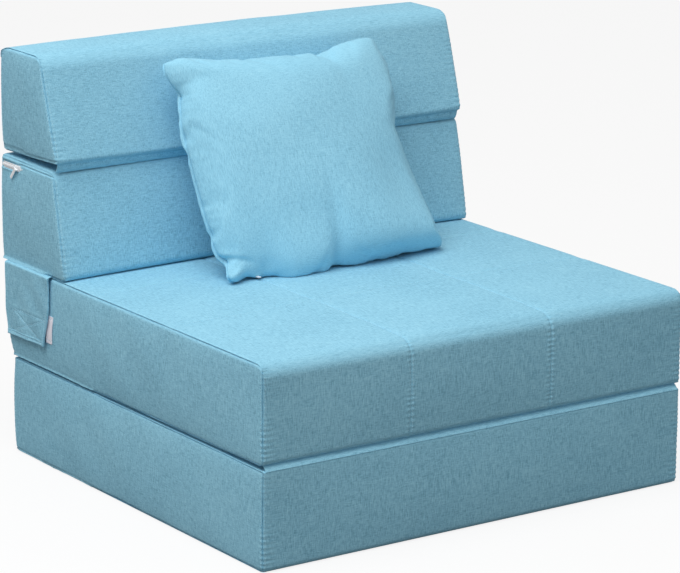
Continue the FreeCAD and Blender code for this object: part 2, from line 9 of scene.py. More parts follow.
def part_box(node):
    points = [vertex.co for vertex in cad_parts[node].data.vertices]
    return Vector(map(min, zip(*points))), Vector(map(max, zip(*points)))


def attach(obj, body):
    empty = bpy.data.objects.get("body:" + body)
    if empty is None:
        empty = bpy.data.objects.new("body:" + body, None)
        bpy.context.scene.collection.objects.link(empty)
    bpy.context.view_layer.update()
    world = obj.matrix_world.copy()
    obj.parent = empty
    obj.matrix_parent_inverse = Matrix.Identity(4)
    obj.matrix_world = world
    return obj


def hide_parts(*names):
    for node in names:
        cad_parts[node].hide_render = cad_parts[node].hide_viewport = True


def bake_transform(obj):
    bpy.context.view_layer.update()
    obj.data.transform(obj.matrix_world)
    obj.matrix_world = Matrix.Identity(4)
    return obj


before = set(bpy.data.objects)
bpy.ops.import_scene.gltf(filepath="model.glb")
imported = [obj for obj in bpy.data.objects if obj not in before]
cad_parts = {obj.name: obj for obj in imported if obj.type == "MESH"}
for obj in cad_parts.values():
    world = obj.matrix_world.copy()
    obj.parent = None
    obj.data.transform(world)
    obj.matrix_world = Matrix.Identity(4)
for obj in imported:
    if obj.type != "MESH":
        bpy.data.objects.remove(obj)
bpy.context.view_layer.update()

# Dresses the folding chair bed: four foam blocks in zipped cloth covers, cloth folds, side straps,
# a bare label, zips and a loose pillow. Metres, +Z up, the front of the seat towards -Y.

bl_info = {
    "name": "Chair Bed",
    "version": (1, 0, 0),
    "blender": (4, 5, 0),
    "location": "3D View > Sidebar > Chair Bed",
    "description": "Builds the cloth, seams, zips and pillow of a folding chair bed",
    "category": "Object",
}


def size(name, description, default):
    """A length that a user can change."""
    return bpy.props.FloatProperty(
        name=name, description=description, default=default, precision=4, unit="LENGTH")


def angle(name, description, degrees):
    """An angle that a user can change."""
    return bpy.props.FloatProperty(
        name=name, description=description, default=math.radians(degrees), subtype="ANGLE")


def colour(name, description, default):
    """A colour that a user can change."""
    return bpy.props.FloatVectorProperty(
        name=name, description=description, default=default, size=3, min=0.0, max=1.0,
        subtype="COLOR")


class ChairBedBlocks(bpy.types.PropertyGroup):
    """The four foam blocks in their covers."""

    slab_width: size("Width", "Width of every block along its sewn edges", 0.75)
    slab_depth: size("Slab depth", "Front to rear of the two full slabs", 0.694)
    base_thick: size("Base thickness", "Height of the lowest slab", 0.148)
    seat_thick: size("Seat thickness", "Height of the seat slab", 0.1454)
    slab_gap: size("Slab gap", "Gap at the sewn edges between base and seat", 0.0073)
    back_setback: size("Back setback", "How far the back stands behind the slabs", 0.029)
    low_depth_low: size("Lower back depth, foot", "Lower back, front to rear at its foot", 0.190)
    low_depth_high: size("Lower back depth, top", "Lower back, front to rear at its top", 0.157)
    low_tall: size("Lower back height", "Height of the lower back block", 0.158)
    block_gap: size("Back gap", "Gap at the sewn edges between the two back blocks", 0.016)
    head_depth_low: size("Upper back depth, foot", "Upper back, front to rear at its foot", 0.166)
    head_depth_high: size("Upper back depth, top", "Upper back, front to rear at its top", 0.119)
    head_tall: size("Upper back height", "Height of the upper back block", 0.154)
    head_inset: size("Upper back inset", "How far the upper back's rear stands forward", 0.004)
    seat_crown: size("Seat crown", "How far the seat's middle stands proud of its seams", 0.006)
    face_crown: size("Face crown", "How far a front or side face stands proud of its seams", 0.004)
    low_crown: size("Lower back crown", "How far the lower back's front stands proud", 0.007)
    rear_crown: size("Rear crown", "How far a back block's rear stands proud", 0.0035)
    seat_rear_crown: size("Seat rear crown", "How far the seat's rear stands proud", 0.022)
    shoulder: size("Side shoulder", "How far a side panel draws in at its level seams", 0.0019)
    clearance: size("Clearance", "Gap between faces that rest on each other", 0.0003)
    seam_round: size("Seam rounding", "Rounding of the sewn edges round the side panels", 0.007)
    tight_round: size("Tight rounding", "Rounding of the edges where base and seat meet", 0.003)
    edge_round: size("Edge rounding", "Rounding of the other edges", 0.009)
    low_round: size("Lower back rounding", "Rounding of the lower back's front edges", 0.012)
    foot_round: size("Foot rounding", "Rounding of the back blocks' rear foot edges", 0.012)
    wrap_round: size("Wrap rounding", "Rounding where the top wraps to the front", 0.022)
    head_round: size("Head rounding", "Rounding of the upper back's top rear edge", 0.030)
    foam_inset: size("Foam inset", "Depth of the foam core under the plain form", 0.0060)
    quilt_x: size("Lengthwise quilting", "Distance of the lengthwise channels from the middle", 0.125)
    quilt_y: size("Crosswise quilting", "Distance of the crosswise channels from the middle", 0.105)


class ChairBedPillow(bpy.types.PropertyGroup):
    """The loose pillow."""

    foot_x: size("Foot across", "Middle of the pillow's foot, from the middle of the seat", 0.0175)
    base_wide: size("Base width", "Width of the pillow between its lower corners", 0.395)
    top_wide: size("Top width", "Width of the pillow between its upper corners", 0.380)
    top_shift: size("Top shift", "How far the top edge stands to the side", -0.0225)
    tall: size("Height", "From the lower to the upper seam", 0.337)
    thick: size("Thickness", "Thickness in the middle", 0.134)
    rim: size("Rim", "Thickness of the sewn edge", 0.003)
    stand_off: size("Stand-off", "From the pillow's foot to the upper back's front", 0.160)
    overhang: size("Overhang", "How far the filling sags forward over the foot", 0.0185)
    lean: angle("Lean", "How far the pillow leans back", 25.5)


class ChairBedTrim(bpy.types.PropertyGroup):
    """Straps, label, folds and zips."""

    strap_rear: size("Strap rear", "Distance of the strap's rear edge behind the middle", 0.356)
    strap_wide: size("Strap width", "Width of the strap at its sewn top", 0.130)
    strap_slant: size("Strap slant", "How far the strap's front edge slants back", 0.013)
    strap_low: size("Strap foot", "Height of the strap's lower edge", 0.189)
    strap_thick: size("Strap thickness", "Two layers of cloth", 0.0020)
    hem: size("Hem", "Width of the strap's turned hem", 0.007)
    strip_thick: size("Fold thickness", "Thickness of the cloth that joins two blocks", 0.0011)
    strip_half: size("Fold half width", "Half the width of the cloth folds", 0.369)
    zip_wide: size("Zip width", "Height of the tape with its teeth", 0.009)
    zip_inset: size("Zip inset", "Distance of a zip from its block's edge", 0.008)
    flap_half: size("Flap half width", "From a zip's middle to the edge of the cloth over it", 0.0065)
    zip_recess: size("Zip recess", "Depth of the tape behind the cover's face", 0.0005)
    zip_hidden: size("Hidden zip depth", "Depth of the tape where cloth hides it", 0.0030)
    zip_reach: size("Zip reach, slabs", "How far a slab's zip runs along its sides", 0.240)
    back_zip_reach: size("Zip reach, back", "How far a back block's zip runs along its sides", 0.070)
    tooth_pitch: size("Tooth pitch", "From one zip tooth to the next", 0.0021)
    stitch_pitch: size("Stitch pitch", "From one stitch to the next", 0.0042)
    stitch_offset: size("Stitch offset", "Distance of a stitched row from its seam", 0.0048)


class ChairBedFinish(bpy.types.PropertyGroup):
    """Colours and yarns."""

    cloth: colour("Cloth", "Middle colour of the heathered cloth", (0.300, 0.620, 0.788))
    thread: colour("Thread", "Sewing thread", (0.42, 0.71, 0.84))
    white: colour("White", "Zips, pulls and the label", (0.94, 0.96, 1.0))
    foam: colour("Foam", "Foam inside the covers", (0.80, 0.76, 0.62))
    filling: colour("Filling", "Fibre inside the pillow", (0.84, 0.84, 0.82))
    yarn_long: size("Yarn length", "Length of the uneven stretches of a yarn", 0.009)
    yarn_wide: size("Yarn width", "Width of a yarn", 0.0010)


class ChairBedStage(bpy.types.PropertyGroup):
    """Camera, lamps and floor."""

    yaw: angle("Camera yaw", "How far round from the front the camera stands", 34.82)
    pitch: angle("Camera pitch", "How far the camera looks down", 14.58)
    roll: angle("Camera roll", "Turn of the camera about its own line of sight", 0.38)
    place: bpy.props.FloatVectorProperty(
        name="Camera place", description="Where the camera stands", size=3,
        default=(-2.8183, -4.0442, 1.5658), subtype="TRANSLATION", unit="LENGTH")
    lens: bpy.props.FloatProperty(
        name="Lens", description="Focal length for a 36 mm wide sensor", default=178.9,
        unit="CAMERA")


def sizes():
    """The settings of the blocks."""
    return bpy.context.scene.chair_bed_blocks


def trim():
    """The settings of straps, label, folds and zips."""
    return bpy.context.scene.chair_bed_trim


def finish():
    """The settings of colours and yarns."""
    return bpy.context.scene.chair_bed_finish


# Meshes


def only(obj):
    """Select one object alone and make it active."""
    bpy.ops.object.select_all(action="DESELECT")
    obj.select_set(True)
    bpy.context.view_layer.objects.active = obj
    return obj


def cube(name):
    """A unit cube about the origin, alone and active."""
    bpy.ops.object.select_all(action="DESELECT")
    bpy.ops.mesh.primitive_cube_add(size=1.0)
    obj = bpy.context.object
    obj.name = obj.data.name = name
    return obj


def cut_edges(axis, cuts):
    """Cut the active mesh's edges that run along one axis."""
    bpy.ops.object.mode_set(mode="EDIT")
    bpy.ops.mesh.select_mode(type="EDGE")
    bpy.ops.mesh.select_all(action="DESELECT")
    mesh = bmesh.from_edit_mesh(bpy.context.object.data)
    for edge in mesh.edges:
        edge.select = abs(edge.verts[0].co[axis] - edge.verts[1].co[axis]) > 1e-9
    mesh.select_flush_mode()
    bmesh.update_edit_mesh(bpy.context.object.data)
    bpy.ops.mesh.subdivide(number_cuts=cuts)
    bpy.ops.object.mode_set(mode="OBJECT")


def apply_all(obj):
    """Apply every modifier of a piece in order."""
    only(obj)
    for modifier in list(obj.modifiers):
        bpy.ops.object.modifier_apply(modifier=modifier.name)
    return obj


def read(values, wide, kind):
    """A property of every item of a mesh, as an array."""
    flat = np.zeros(len(values) * wide)
    values.foreach_get(kind, flat)
    return flat.reshape(-1, wide) if wide > 1 else flat


def points(obj):
    """The vertices of a mesh as an array."""
    return read(obj.data.vertices, 3, "co")


def normals(obj):
    """The vertex normals of a mesh as an array."""
    return read(obj.data.vertices, 3, "normal")


def move_to(obj, places):
    """Give the vertices of a mesh new places."""
    obj.data.vertices.foreach_set("co", np.asarray(places, float).ravel())
    obj.data.update()


def graded(marks, fine, coarse, grow=1.45):
    """Places from the first mark to the last, close together near every mark and wider between them."""
    places = [marks[0]]
    for low, high in zip(marks, marks[1:]):
        steps, step = [], fine
        while 2 * (sum(steps) + step) < high - low:
            steps.append(step)
            step = min(step * grow, coarse)
        up = np.cumsum(steps)
        down = up
        if len(up) and high - low - 2 * up[-1] < 0.6 * steps[-1]:
            up = up * (high - low) / 2 / up[-1]
            down = up[:-1]
        places += [*(low + up), *(high - down[::-1]), high]
    return np.unique(np.round(places, 7))


def graded_shares(marks, fine, coarse, grow=1.45):
    """The same places as shares of the way from the first mark, at 0, to the last."""
    places = graded(marks, fine, coarse, grow)
    return places / places[-1]


def even(low, high, step):
    """Evenly spaced places, about a step apart."""
    return np.linspace(low, high, max(2, round((high - low) / step)) + 1)


def gridded_box(name, xs, ys, zs):
    """A cube whose faces are cut at three sets of places. Returns it with each vertex's three places."""
    obj = cube(name)
    for axis, places in enumerate((xs, ys, zs)):
        cut_edges(axis, len(places) - 2)
    unit = points(obj) + 0.5
    grid = [np.asarray(p, float)[np.rint(unit[:, i] * (len(p) - 1)).astype(int)]
            for i, p in enumerate((xs, ys, zs))]
    grid = np.stack(grid, axis=1)
    move_to(obj, grid)
    return obj, grid


def uneven(places, wave, seed):
    """Smooth unevenness between about -1 and 1, with a wave length."""
    turns = 2 * math.pi / wave
    leans = ((0.83, 0.41, 0.37), (-0.36, 0.79, 0.50), (0.29, -0.53, 0.80), (0.61, 0.60, -0.52))
    total = 0.0
    for i, lean in enumerate(leans):
        total = total + np.sin(turns * (0.7 + 0.27 * i) * (places @ np.array(lean)) + seed * (1 + i))
    return total / 2.6


def smoothed(share):
    """An even rise from 0 to 1."""
    share = np.clip(share, 0, 1)
    return share * share * (3 - 2 * share)


def bump(distance, width):
    """1 at distance 0, falling off smoothly over a width."""
    return np.exp(-(distance / width) ** 2)


def ridge(distance, form):
    """A ridge beside a line, or a groove where its height is negative: a height, a width and how far
    from the line it lies."""
    height, width, away = form
    return height * bump(distance - away, width)


PUCKER = 0.0076  # distance from one pucker to the next along a stitched seam


def puckers(along, seed, pitch=PUCKER):
    """Uneven small waves along a seam, from 0 to 1."""
    drift = 1.8 * np.sin(along * 37 + seed) + 1.1 * np.sin(along * 91 + 2 * seed)
    strength = 0.6 + 0.4 * np.sin(along * 53 + 3 * seed) * np.sin(along * 24 + seed)
    return strength * (0.5 + 0.5 * np.sin(2 * math.pi * along / pitch + drift))


def placed(obj, body, material, node_name=None):
    """Shade and paint a piece, and put it on its body in place of a CAD node."""
    only(obj)
    bpy.ops.object.shade_smooth_by_angle(angle=math.radians(60))
    obj.data.materials.clear()
    obj.data.materials.append(material)
    if body:
        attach(obj, body)
    if node_name:
        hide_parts(node_name)
    return obj


# Rows and runs


def run_along(places, outward):
    """A line of places with the outward direction at each, and how far along each lies."""
    places, outward = np.asarray(places, float), np.asarray(outward, float)
    steps = np.linalg.norm(np.diff(places, axis=0), axis=1)
    keep = np.concatenate([[True], steps > 1e-6])
    places, outward = places[keep], outward[keep]
    steps = np.linalg.norm(np.diff(places, axis=0), axis=1)
    return {"far": np.concatenate([[0], np.cumsum(steps)]), "places": places, "outward": outward}


def laid_along(obj, run):
    """Bend a straight piece, which lies along X with its outer side up, onto a run."""
    co, far = points(obj), run["far"]

    def at(values):
        return np.stack([np.interp(co[:, 0], far, values[:, i]) for i in range(3)], axis=1)

    ahead = at(np.gradient(run["places"], far, axis=0))
    ahead /= np.linalg.norm(ahead, axis=1)[:, None]
    out = at(run["outward"])
    out -= (out * ahead).sum(axis=1)[:, None] * ahead
    out /= np.linalg.norm(out, axis=1)[:, None]
    move_to(obj, at(run["places"]) + np.cross(out, ahead) * co[:, 1:2] + out * co[:, 2:3])
    return obj


def row_of(obj, length, pitch):
    """Repeat a piece along X, as often as fits in a length."""
    array = obj.modifiers.new("Row", "ARRAY")
    array.count = max(1, int(length / pitch))
    array.use_relative_offset = False
    array.use_constant_offset = True
    array.constant_offset_displace = (pitch, 0, 0)
    return apply_all(obj)


def joined(name, parts):
    """Join pieces into one."""
    bpy.ops.object.select_all(action="DESELECT")
    for part in parts:
        part.select_set(True)
    bpy.context.view_layer.objects.active = parts[0]
    if len(parts) > 1:
        bpy.ops.object.join()
    parts[0].name = parts[0].data.name = name
    return parts[0]


def resampled(places, step):
    """Places along a line, evenly a step apart."""
    places = np.asarray(places, float)
    far = np.concatenate([[0], np.cumsum(np.linalg.norm(np.diff(places, axis=0), axis=1))])
    fine = np.linspace(0, far[-1], max(2, int(far[-1] / step)))
    return np.stack([np.interp(fine, far, places[:, i]) for i in range(3)], axis=1)


STITCH = (0.66, 0.20, 0.18)  # length, width and thickness of a stitch, as shares of the pitch
STITCH_LIFT = 0.0001  # how far a stitch's middle lies over the cloth
ROW_STEP = 0.0018  # distance of the places at which a row is laid on the cloth


def thread_row(surface, places):
    """A row of stitches on a surface, along a line that runs close to it."""
    hits = [surface.closest_point_on_mesh(Vector(p)) for p in resampled(places, ROW_STEP)]
    run = run_along([hit[1] for hit in hits], [hit[2] for hit in hits])
    bpy.ops.object.select_all(action="DESELECT")
    bpy.ops.mesh.primitive_ico_sphere_add(subdivisions=2, radius=0.5)
    stitch = bpy.context.object
    pitch = trim().stitch_pitch
    long, wide, thick = (share * pitch for share in STITCH)
    move_to(stitch, points(stitch) * (long, wide, thick) + (pitch / 2, 0, STITCH_LIFT))
    return laid_along(row_of(stitch, run["far"][-1], pitch), run)


def sewn(name, rows, body):
    """Stitched rows joined into one piece of thread that moves with a body."""
    return placed(joined(name, rows), body, once(spun, "sewing_thread"))


# Blocks


def block_table():
    """For each block: the corners of its side view (front low, front high, rear high, rear low) and
    their roundings, the roundings of its side panels' seams and the crowns of the faces that start
    there (front, top, rear, bottom), how far its zip runs along the sides, whether the zip lies by
    the foot (1) or by the top (-1), and the side on which it shows (-1 for the left)."""
    s, t = sizes(), trim()
    front, rear = -s.slab_depth / 2, s.slab_depth / 2
    seat_low = s.base_thick + s.slab_gap
    seat_high = seat_low + s.seat_thick
    back_rear = rear + s.back_setback
    low_front = back_rear - s.low_depth_low
    share = (low_front - front) / s.slab_depth
    low_low = seat_high + 4 * s.seat_crown * share * (1 - share) + s.clearance
    low_high = low_low + s.low_tall
    head_low = low_high + s.block_gap
    head_high = head_low + s.head_tall
    head_rear = back_rear - s.head_inset
    mate, stack = (s.slab_gap - s.clearance) / 2, (s.block_gap - s.clearance) / 2
    edge, wrap, face, tight, seam = s.edge_round, s.wrap_round, s.face_crown, s.tight_round, s.seam_round
    return {
        "base": {
            "corners": [(front, 0), (front, s.base_thick), (rear, s.base_thick), (rear, 0)],
            "rounds": [edge, tight, tight, edge], "seams": [seam, tight, seam, seam],
            "crowns": [face, mate, 2 * face, 0],
            "reach": t.zip_reach, "zip": 1, "open": 1},
        "seat": {
            "corners": [(front, seat_low), (front, seat_high), (rear, seat_high), (rear, seat_low)],
            "rounds": [edge, wrap, edge, tight], "seams": [seam, seam, seam, tight],
            "crowns": [face, s.seat_crown, s.seat_rear_crown, mate],
            "reach": t.zip_reach, "zip": 1, "open": 1},
        "lower_back": {
            "corners": [(low_front, low_low), (back_rear - s.low_depth_high, low_high),
                        (back_rear, low_high), (back_rear, low_low)],
            "rounds": [s.low_round, s.low_round, edge, s.foot_round], "seams": [seam, seam, seam, tight],
            "crowns": [s.low_crown, stack, s.rear_crown, 0],
            "reach": t.back_zip_reach, "zip": -1, "open": -1},
        "upper_back": {
            "corners": [(head_rear - s.head_depth_low, head_low),
                        (head_rear - s.head_depth_high, head_high),
                        (head_rear, head_high), (head_rear, head_low)],
            "rounds": [edge, wrap, s.head_round, s.foot_round], "seams": [seam] * 4,
            "crowns": [s.face_crown / 2, face, s.rear_crown, stack],
            "reach": t.back_zip_reach, "zip": 1, "open": 1},
    }


def rounded_block(name, block):
    """The plain block with rounded edges, which the cover's fine mesh is laid on."""
    s = sizes()
    obj = cube(name)
    co = points(obj)
    spots = {(-1, -1): 0, (-1, 1): 1, (1, 1): 2, (1, -1): 3}
    which = [spots[(int(np.sign(y)), int(np.sign(z)))] for _, y, z in co]
    corners = np.array([block["corners"][i] for i in which])
    move_to(obj, np.column_stack([np.sign(co[:, 0]) * s.slab_width / 2, corners]))
    largest = max(block["rounds"] + block["seams"])
    weights = obj.data.attributes.new("bevel_weight_edge", "FLOAT", "EDGE")
    for edge in obj.data.edges:
        a, b = edge.vertices
        first, last = sorted((which[a], which[b]))
        seam = block["seams"][3 if last - first == 3 else first]
        weights.data[edge.index].value = (block["rounds"][first] if first == last else seam) / largest
    bevel = obj.modifiers.new("Rounding", "BEVEL")
    bevel.limit_method = "WEIGHT"
    bevel.width = largest
    bevel.segments = 10
    return apply_all(obj)


def zip_height(block):
    """Height of the middle of a block's zip."""
    t = trim()
    low, high = block["corners"][0][1], block["corners"][1][1]
    return (low if block["zip"] > 0 else high) + block["zip"] * (t.zip_inset + t.zip_wide / 2)


# Steps of a cover's mesh: by its edges and marks, and between them
LEVEL_STEPS = (0.0008, 0.014)
UPRIGHT_STEPS = (0.0007, 0.0013)

# Ridges and grooves of a cover
SEAM_GROOVE = (-0.0016, 0.0011, 0)  # the pressed-in seam round a side panel
SEAM_ROLL = (0.0011, 0.0026, 0)  # puckers between an upright seam and its stitched row
ROLL_PLACE = 0.55  # their place, as a share of the way from the seam to the row
SEAM_SWELL = (0.0008, 0.0050, 0.011)  # the same puckers further out on the face
ROW_GROOVE = (-0.0005, 0.0009, 0)  # under a stitched row
CHANNEL_GROOVE = (-0.0014, 0.0024, 0)  # a quilted channel
CHANNEL_DIP = (-0.0008, 0.012, 0)  # the cloth drawn down along it
CHANNEL_ROLL = (0.0016, 0.0032, 0.0030)  # puckers beside it on the front
ZIP_ROLL = (0.0007, 0.0014, 0.0022)  # the cloth's turned edge beside a zip
LIP_ROLL = (0.0021, 0.0013, 0)  # the lip of cloth over a hidden zip
LIP_GROOVE = (-0.0010, 0.0009, 0.0027)  # behind that lip
FOOT_LIP = (0.0035, 0.0018, 0.0026)  # the lower back's lip over its straps
FOOT_LIP_START = 0.25  # where that lip starts, as a share of the depth

COVER_UNEVEN = (0.0007, 0.11)  # height and wave length of a cover's unevenness
SHOULDER_REACH = 0.012  # how far from its level seams a side panel draws in
ZIP_FADE = 0.004  # length over which a zip's slot starts
ZIP_CALM = 0.016  # how far from a zip that shows the cloth is held flat
SLOT_DEPTH = 0.0026  # depth of the slot that shows a zip
SLOT_MARGIN = 0.0009  # how far the slot is wider than the zip's half
SLOT_SLOPE = 0.0012  # width of the slot's slope
LIP_SHARE = 0.35  # place of the lip over a hidden zip, as a share of the seam's rounding
LOW_SEAM_DROP = 0.007  # how far the lower back's side seam lies under its top edge
FOOT_REACH = 0.03  # height over which the lower back's foot takes up the seat's crown
LIP_WAVE = (0.15, 140)  # share by which a lip is uneven, and how fast that changes along it
SEAT_REAR = (0.9, 0.7)  # the seat's rear: share of its crown at the ends, and power of its side view
OTHER_REAR = (0.55, 1)  # the same for the other blocks
RIM_REACH = 0.030  # height over which a rim is drawn towards the next block
RIM_ZIP_CUT = 0.023  # how much less that is by a zip
MATE_REACH = 0.006  # the same height where base and seat meet
MATE_RISE = (0.05, 0.12)  # where the rims of base and seat start to close, and over what depth share
MATE_STEP = (0.60, 0.06)  # where they close further, towards the rear
MATE_SHARE = 0.3  # share of the crown by which they close at each of the two
HEAD_RIM = (0.003, 0.003, 0.005)  # drop of the upper back's rim: all round, amid an edge, at a rear corner
LOW_RIM = (0.0045, 0.003)  # rise of the lower back's rim: amid the front, at the rear


class Places:
    """Where the vertices of a block's cover lie on the block, from the grid its mesh was cut on."""

    def __init__(self, block, grid):
        s = sizes()
        (front, low), (_, high), _, (rear, _) = block["corners"]
        self.deep, self.tall, self.half = rear - front, high - low, s.slab_width / 2
        self.x, self.v, self.w = grid.T
        across = (self.x + self.half) / s.slab_width
        self.arch_x, self.arch_v, self.arch_w = (4 * n * (1 - n) for n in (across, self.v, self.w))
        self.end = np.abs(self.x) > self.half - 1e-6
        self.over_foot, self.under_top = self.w * self.tall, (1 - self.w) * self.tall
        on_run = smoothed((self.v * self.deep - self.deep + block["reach"]) / ZIP_FADE)
        self.by_zip = on_run * (self.end | (self.v == 1))
        self.open_side = np.sign(self.x) == block["open"]
        self.shown = self.by_zip * self.end * self.open_side
        self.past_zip = (zip_height(block) - (low + self.over_foot)) * block["zip"]


def laid_cloth(name, block):
    """A mesh laid on a rounded block, fine by its edges, channels and zip. Returns it with its grid:
    how far across, and the shares of the depth and of the height."""
    s, t = sizes(), trim()
    half = s.slab_width / 2
    (fy0, z0), (fy1, z1), (ry1, _), (ry0, _) = block["corners"]
    deep, tall = ry0 - fy0, z1 - z0
    x_marks, y_marks = [-half, half], [0, deep]
    if name == "seat":
        x_marks[1:1] = [-s.quilt_x, s.quilt_x]
        y_marks[1:1] = [deep / 2 - s.quilt_y, deep / 2 + s.quilt_y]
    slot = zip_height(block) - z0
    beside = (-t.flap_half, -t.zip_wide / 2, t.zip_wide / 2, t.flap_half)
    z_marks = [0, *(slot + far for far in beside), tall]
    obj, grid = gridded_box(name + "_cover_cloth", graded(x_marks, *LEVEL_STEPS),
                            graded_shares(y_marks, *LEVEL_STEPS), graded_shares(z_marks, *UPRIGHT_STEPS))
    x, v, w = grid.T
    front, rear = fy0 + (fy1 - fy0) * w, ry0 + (ry1 - ry0) * w
    move_to(obj, np.column_stack([x, front + (rear - front) * v, z0 + tall * w]))
    form = rounded_block(name + "_form", block)
    wrap = obj.modifiers.new("Wrap", "SHRINKWRAP")
    wrap.target = form
    wrap.wrap_method = "NEAREST_SURFACEPOINT"
    apply_all(obj)
    bpy.data.objects.remove(form)
    return obj, grid


def cover(name, block):
    """The cloth cover of a block: a fine mesh on the rounded block, crowned, with sewn side seams."""
    obj, grid = laid_cloth(name, block)
    at = Places(block, grid)
    out = crowned(name, block, at)
    if name == "lower_back":
        co = points(obj)
        lift = block["corners"][0][1] - sizes().clearance - seat_surface(co[:, 0], co[:, 1])
        out[:, 2] -= lift * bump(at.over_foot, FOOT_REACH)
    out[:, 2] += rim_drop(name, block, at)
    move_to(obj, points(obj) + out)
    height, wave = COVER_UNEVEN
    off_front = (at.arch_x + at.end) * (at.arch_v + (at.v == 1))
    relief = seam_relief(name, at) + height * uneven(points(obj), wave, len(name)) * off_front
    if name == "seat":
        relief += quilting_relief(at)
    relief = zip_relief(name, block, at, relief)
    co = points(obj) + normals(obj) * relief[:, None]
    co[:, 2] = np.maximum(co[:, 2], 0)
    move_to(obj, co)
    placed(obj, name, once(heather, "heathered_cloth"), name + "_cover")
    return obj


def crowned(name, block, at):
    """How far each vertex of a cover moves so that its faces stand proud of their seams."""
    s = sizes()
    front_crown, top, back, bottom = block["crowns"]
    lean = math.atan2(block["corners"][1][0] - block["corners"][0][0], at.tall)
    out = np.zeros((len(at.x), 3))
    proud = (at.v == 0) * front_crown * at.arch_x * at.arch_w
    out[:, 1] -= proud * math.cos(lean)
    out[:, 2] += proud * math.sin(lean)
    at_ends, fullness = SEAT_REAR if name == "seat" else OTHER_REAR
    rear = np.where(at.v == 1, at_ends + (1 - at_ends) * at.arch_x, at_ends * at.v ** 8)
    out[:, 1] += rear * back * at.arch_w ** fullness
    out[:, 2] += ((at.w == 1) * top - (at.w == 0) * bottom) * at.arch_x * at.arch_v
    shoulder = s.shoulder * np.exp(-np.minimum(at.over_foot, at.under_top) / SHOULDER_REACH)
    out[:, 0] += np.sign(at.x) * at.end * (s.face_crown * at.arch_v * at.arch_w - shoulder)
    return out * (1 - at.shown * bump(at.past_zip, ZIP_CALM))[:, None]


def rim_drop(name, block, at):
    """How far the rims of faces that meet another block hang or rise towards it, off the middle."""
    rim = 1 - at.arch_x * at.arch_v
    reach = RIM_REACH - RIM_ZIP_CUT * at.by_zip
    if name == "upper_back":
        whole, amid, corner = HEAD_RIM
        drop = whole + amid * at.arch_x + corner * at.v * (1 - at.arch_x)
        return -rim * drop * bump(at.over_foot, reach)
    if name == "lower_back":
        front, rear = LOW_RIM
        return rim * (front * at.arch_x * (1 - at.v) + rear * at.v) * bump(at.under_top, reach)
    first, second = (smoothed((at.v - start) / wide) for start, wide in (MATE_RISE, MATE_STEP))
    mate = block["crowns"][1 if name == "base" else 3] * first * (MATE_SHARE + MATE_SHARE * second)
    if name == "base":
        return rim * mate * bump(at.under_top, MATE_REACH)
    return -rim * mate * bump(at.over_foot, MATE_REACH)


def seam_relief(name, at):
    """The pressed-in seam round each side panel, its raised edge, and the puckers by upright seams."""
    top_drop = LOW_SEAM_DROP if name == "lower_back" else 0
    to_upright = np.minimum(at.v, 1 - at.v) * at.deep
    to_level = np.minimum(at.over_foot, np.abs(at.under_top - top_drop))
    distance = np.where(at.end, np.minimum(to_upright, to_level), at.half - np.abs(at.x))
    upright = np.where(at.end, to_upright <= to_level, (at.v == 0) | (at.v == 1))
    wave = puckers(at.over_foot, 1.0 + np.sign(at.x) + 2 * (at.v > 0.5)) * (0.8 + 0.6 * (1 - at.w) ** 2)
    wave *= 1 - 0.6 * (at.v > 0.5)
    row = trim().stitch_offset
    shift = ridge(distance, SEAM_GROOVE) * (1 - (top_drop > 0) * ~at.end * (at.w == 1))
    shift += upright * wave * ridge(distance - ROLL_PLACE * row, SEAM_ROLL)
    shift += ~at.end * upright * wave * ridge(distance, SEAM_SWELL)
    return shift + upright * ridge(distance - row, ROW_GROOVE)


def quilting_relief(at):
    """Depths of the sewn channels: across the top both ways, and down the front as puckered rows."""
    s = sizes()
    top, front = at.w == 1, at.v == 0
    to_long = np.abs(np.abs(at.x) - s.quilt_x)
    to_cross = np.abs(np.abs((at.v - 0.5) * at.deep) - s.quilt_y)
    fade = np.clip((at.half - np.abs(at.x)) / 0.03, 0, 1)
    shift = np.minimum((top | front) * ridge(to_long, CHANNEL_GROOVE),
                       top * fade * ridge(to_cross, CHANNEL_GROOVE))
    shift += top * ridge(np.minimum(to_long, to_cross), CHANNEL_DIP)
    return shift + front * ridge(to_long, CHANNEL_ROLL) * puckers(at.over_foot, 4.0 + np.sign(at.x))


def zip_relief(name, block, at, relief):
    """A cover's relief with the slot where its zip shows and the lips of cloth that hide it elsewhere."""
    t = trim()
    beside = np.abs(at.past_zip)
    slot = smoothed((t.zip_wide / 2 + SLOT_MARGIN - beside) / SLOT_SLOPE) * at.shown
    relief = relief * (1 - slot) - SLOT_DEPTH * slot
    relief += at.shown * ridge(beside - t.zip_wide / 2, ZIP_ROLL)
    hidden = (1.0 * at.end if name == "upper_back" else at.by_zip) * ~(at.end & at.open_side)
    uneven_by, turns = LIP_WAVE
    hidden *= 1 + uneven_by * np.sin(turns * (at.x + at.v))
    to_lip = t.zip_inset + t.zip_wide / 2 - at.past_zip
    to_lip = to_lip - LIP_SHARE * block["seams"][3 if block["zip"] > 0 else 1]
    relief += hidden * (ridge(to_lip, LIP_ROLL) + ridge(to_lip, LIP_GROOVE))
    if name == "lower_back":
        relief += at.end * ridge(at.over_foot, FOOT_LIP) * smoothed((at.v - FOOT_LIP_START) / 0.1)
    return relief


def foam(name, block):
    """The foam core of a block: its plain form, a little smaller about its middle."""
    core = rounded_block(name + "_foam", block)
    co = points(core)
    middle, reach = (co.min(axis=0) + co.max(axis=0)) / 2, np.ptp(co, axis=0) / 2
    move_to(core, middle + (co - middle) * (1 - sizes().foam_inset / reach))
    return placed(core, name, once(cells, "foam_cells", finish().foam, 700.0), name + "_foam_core")


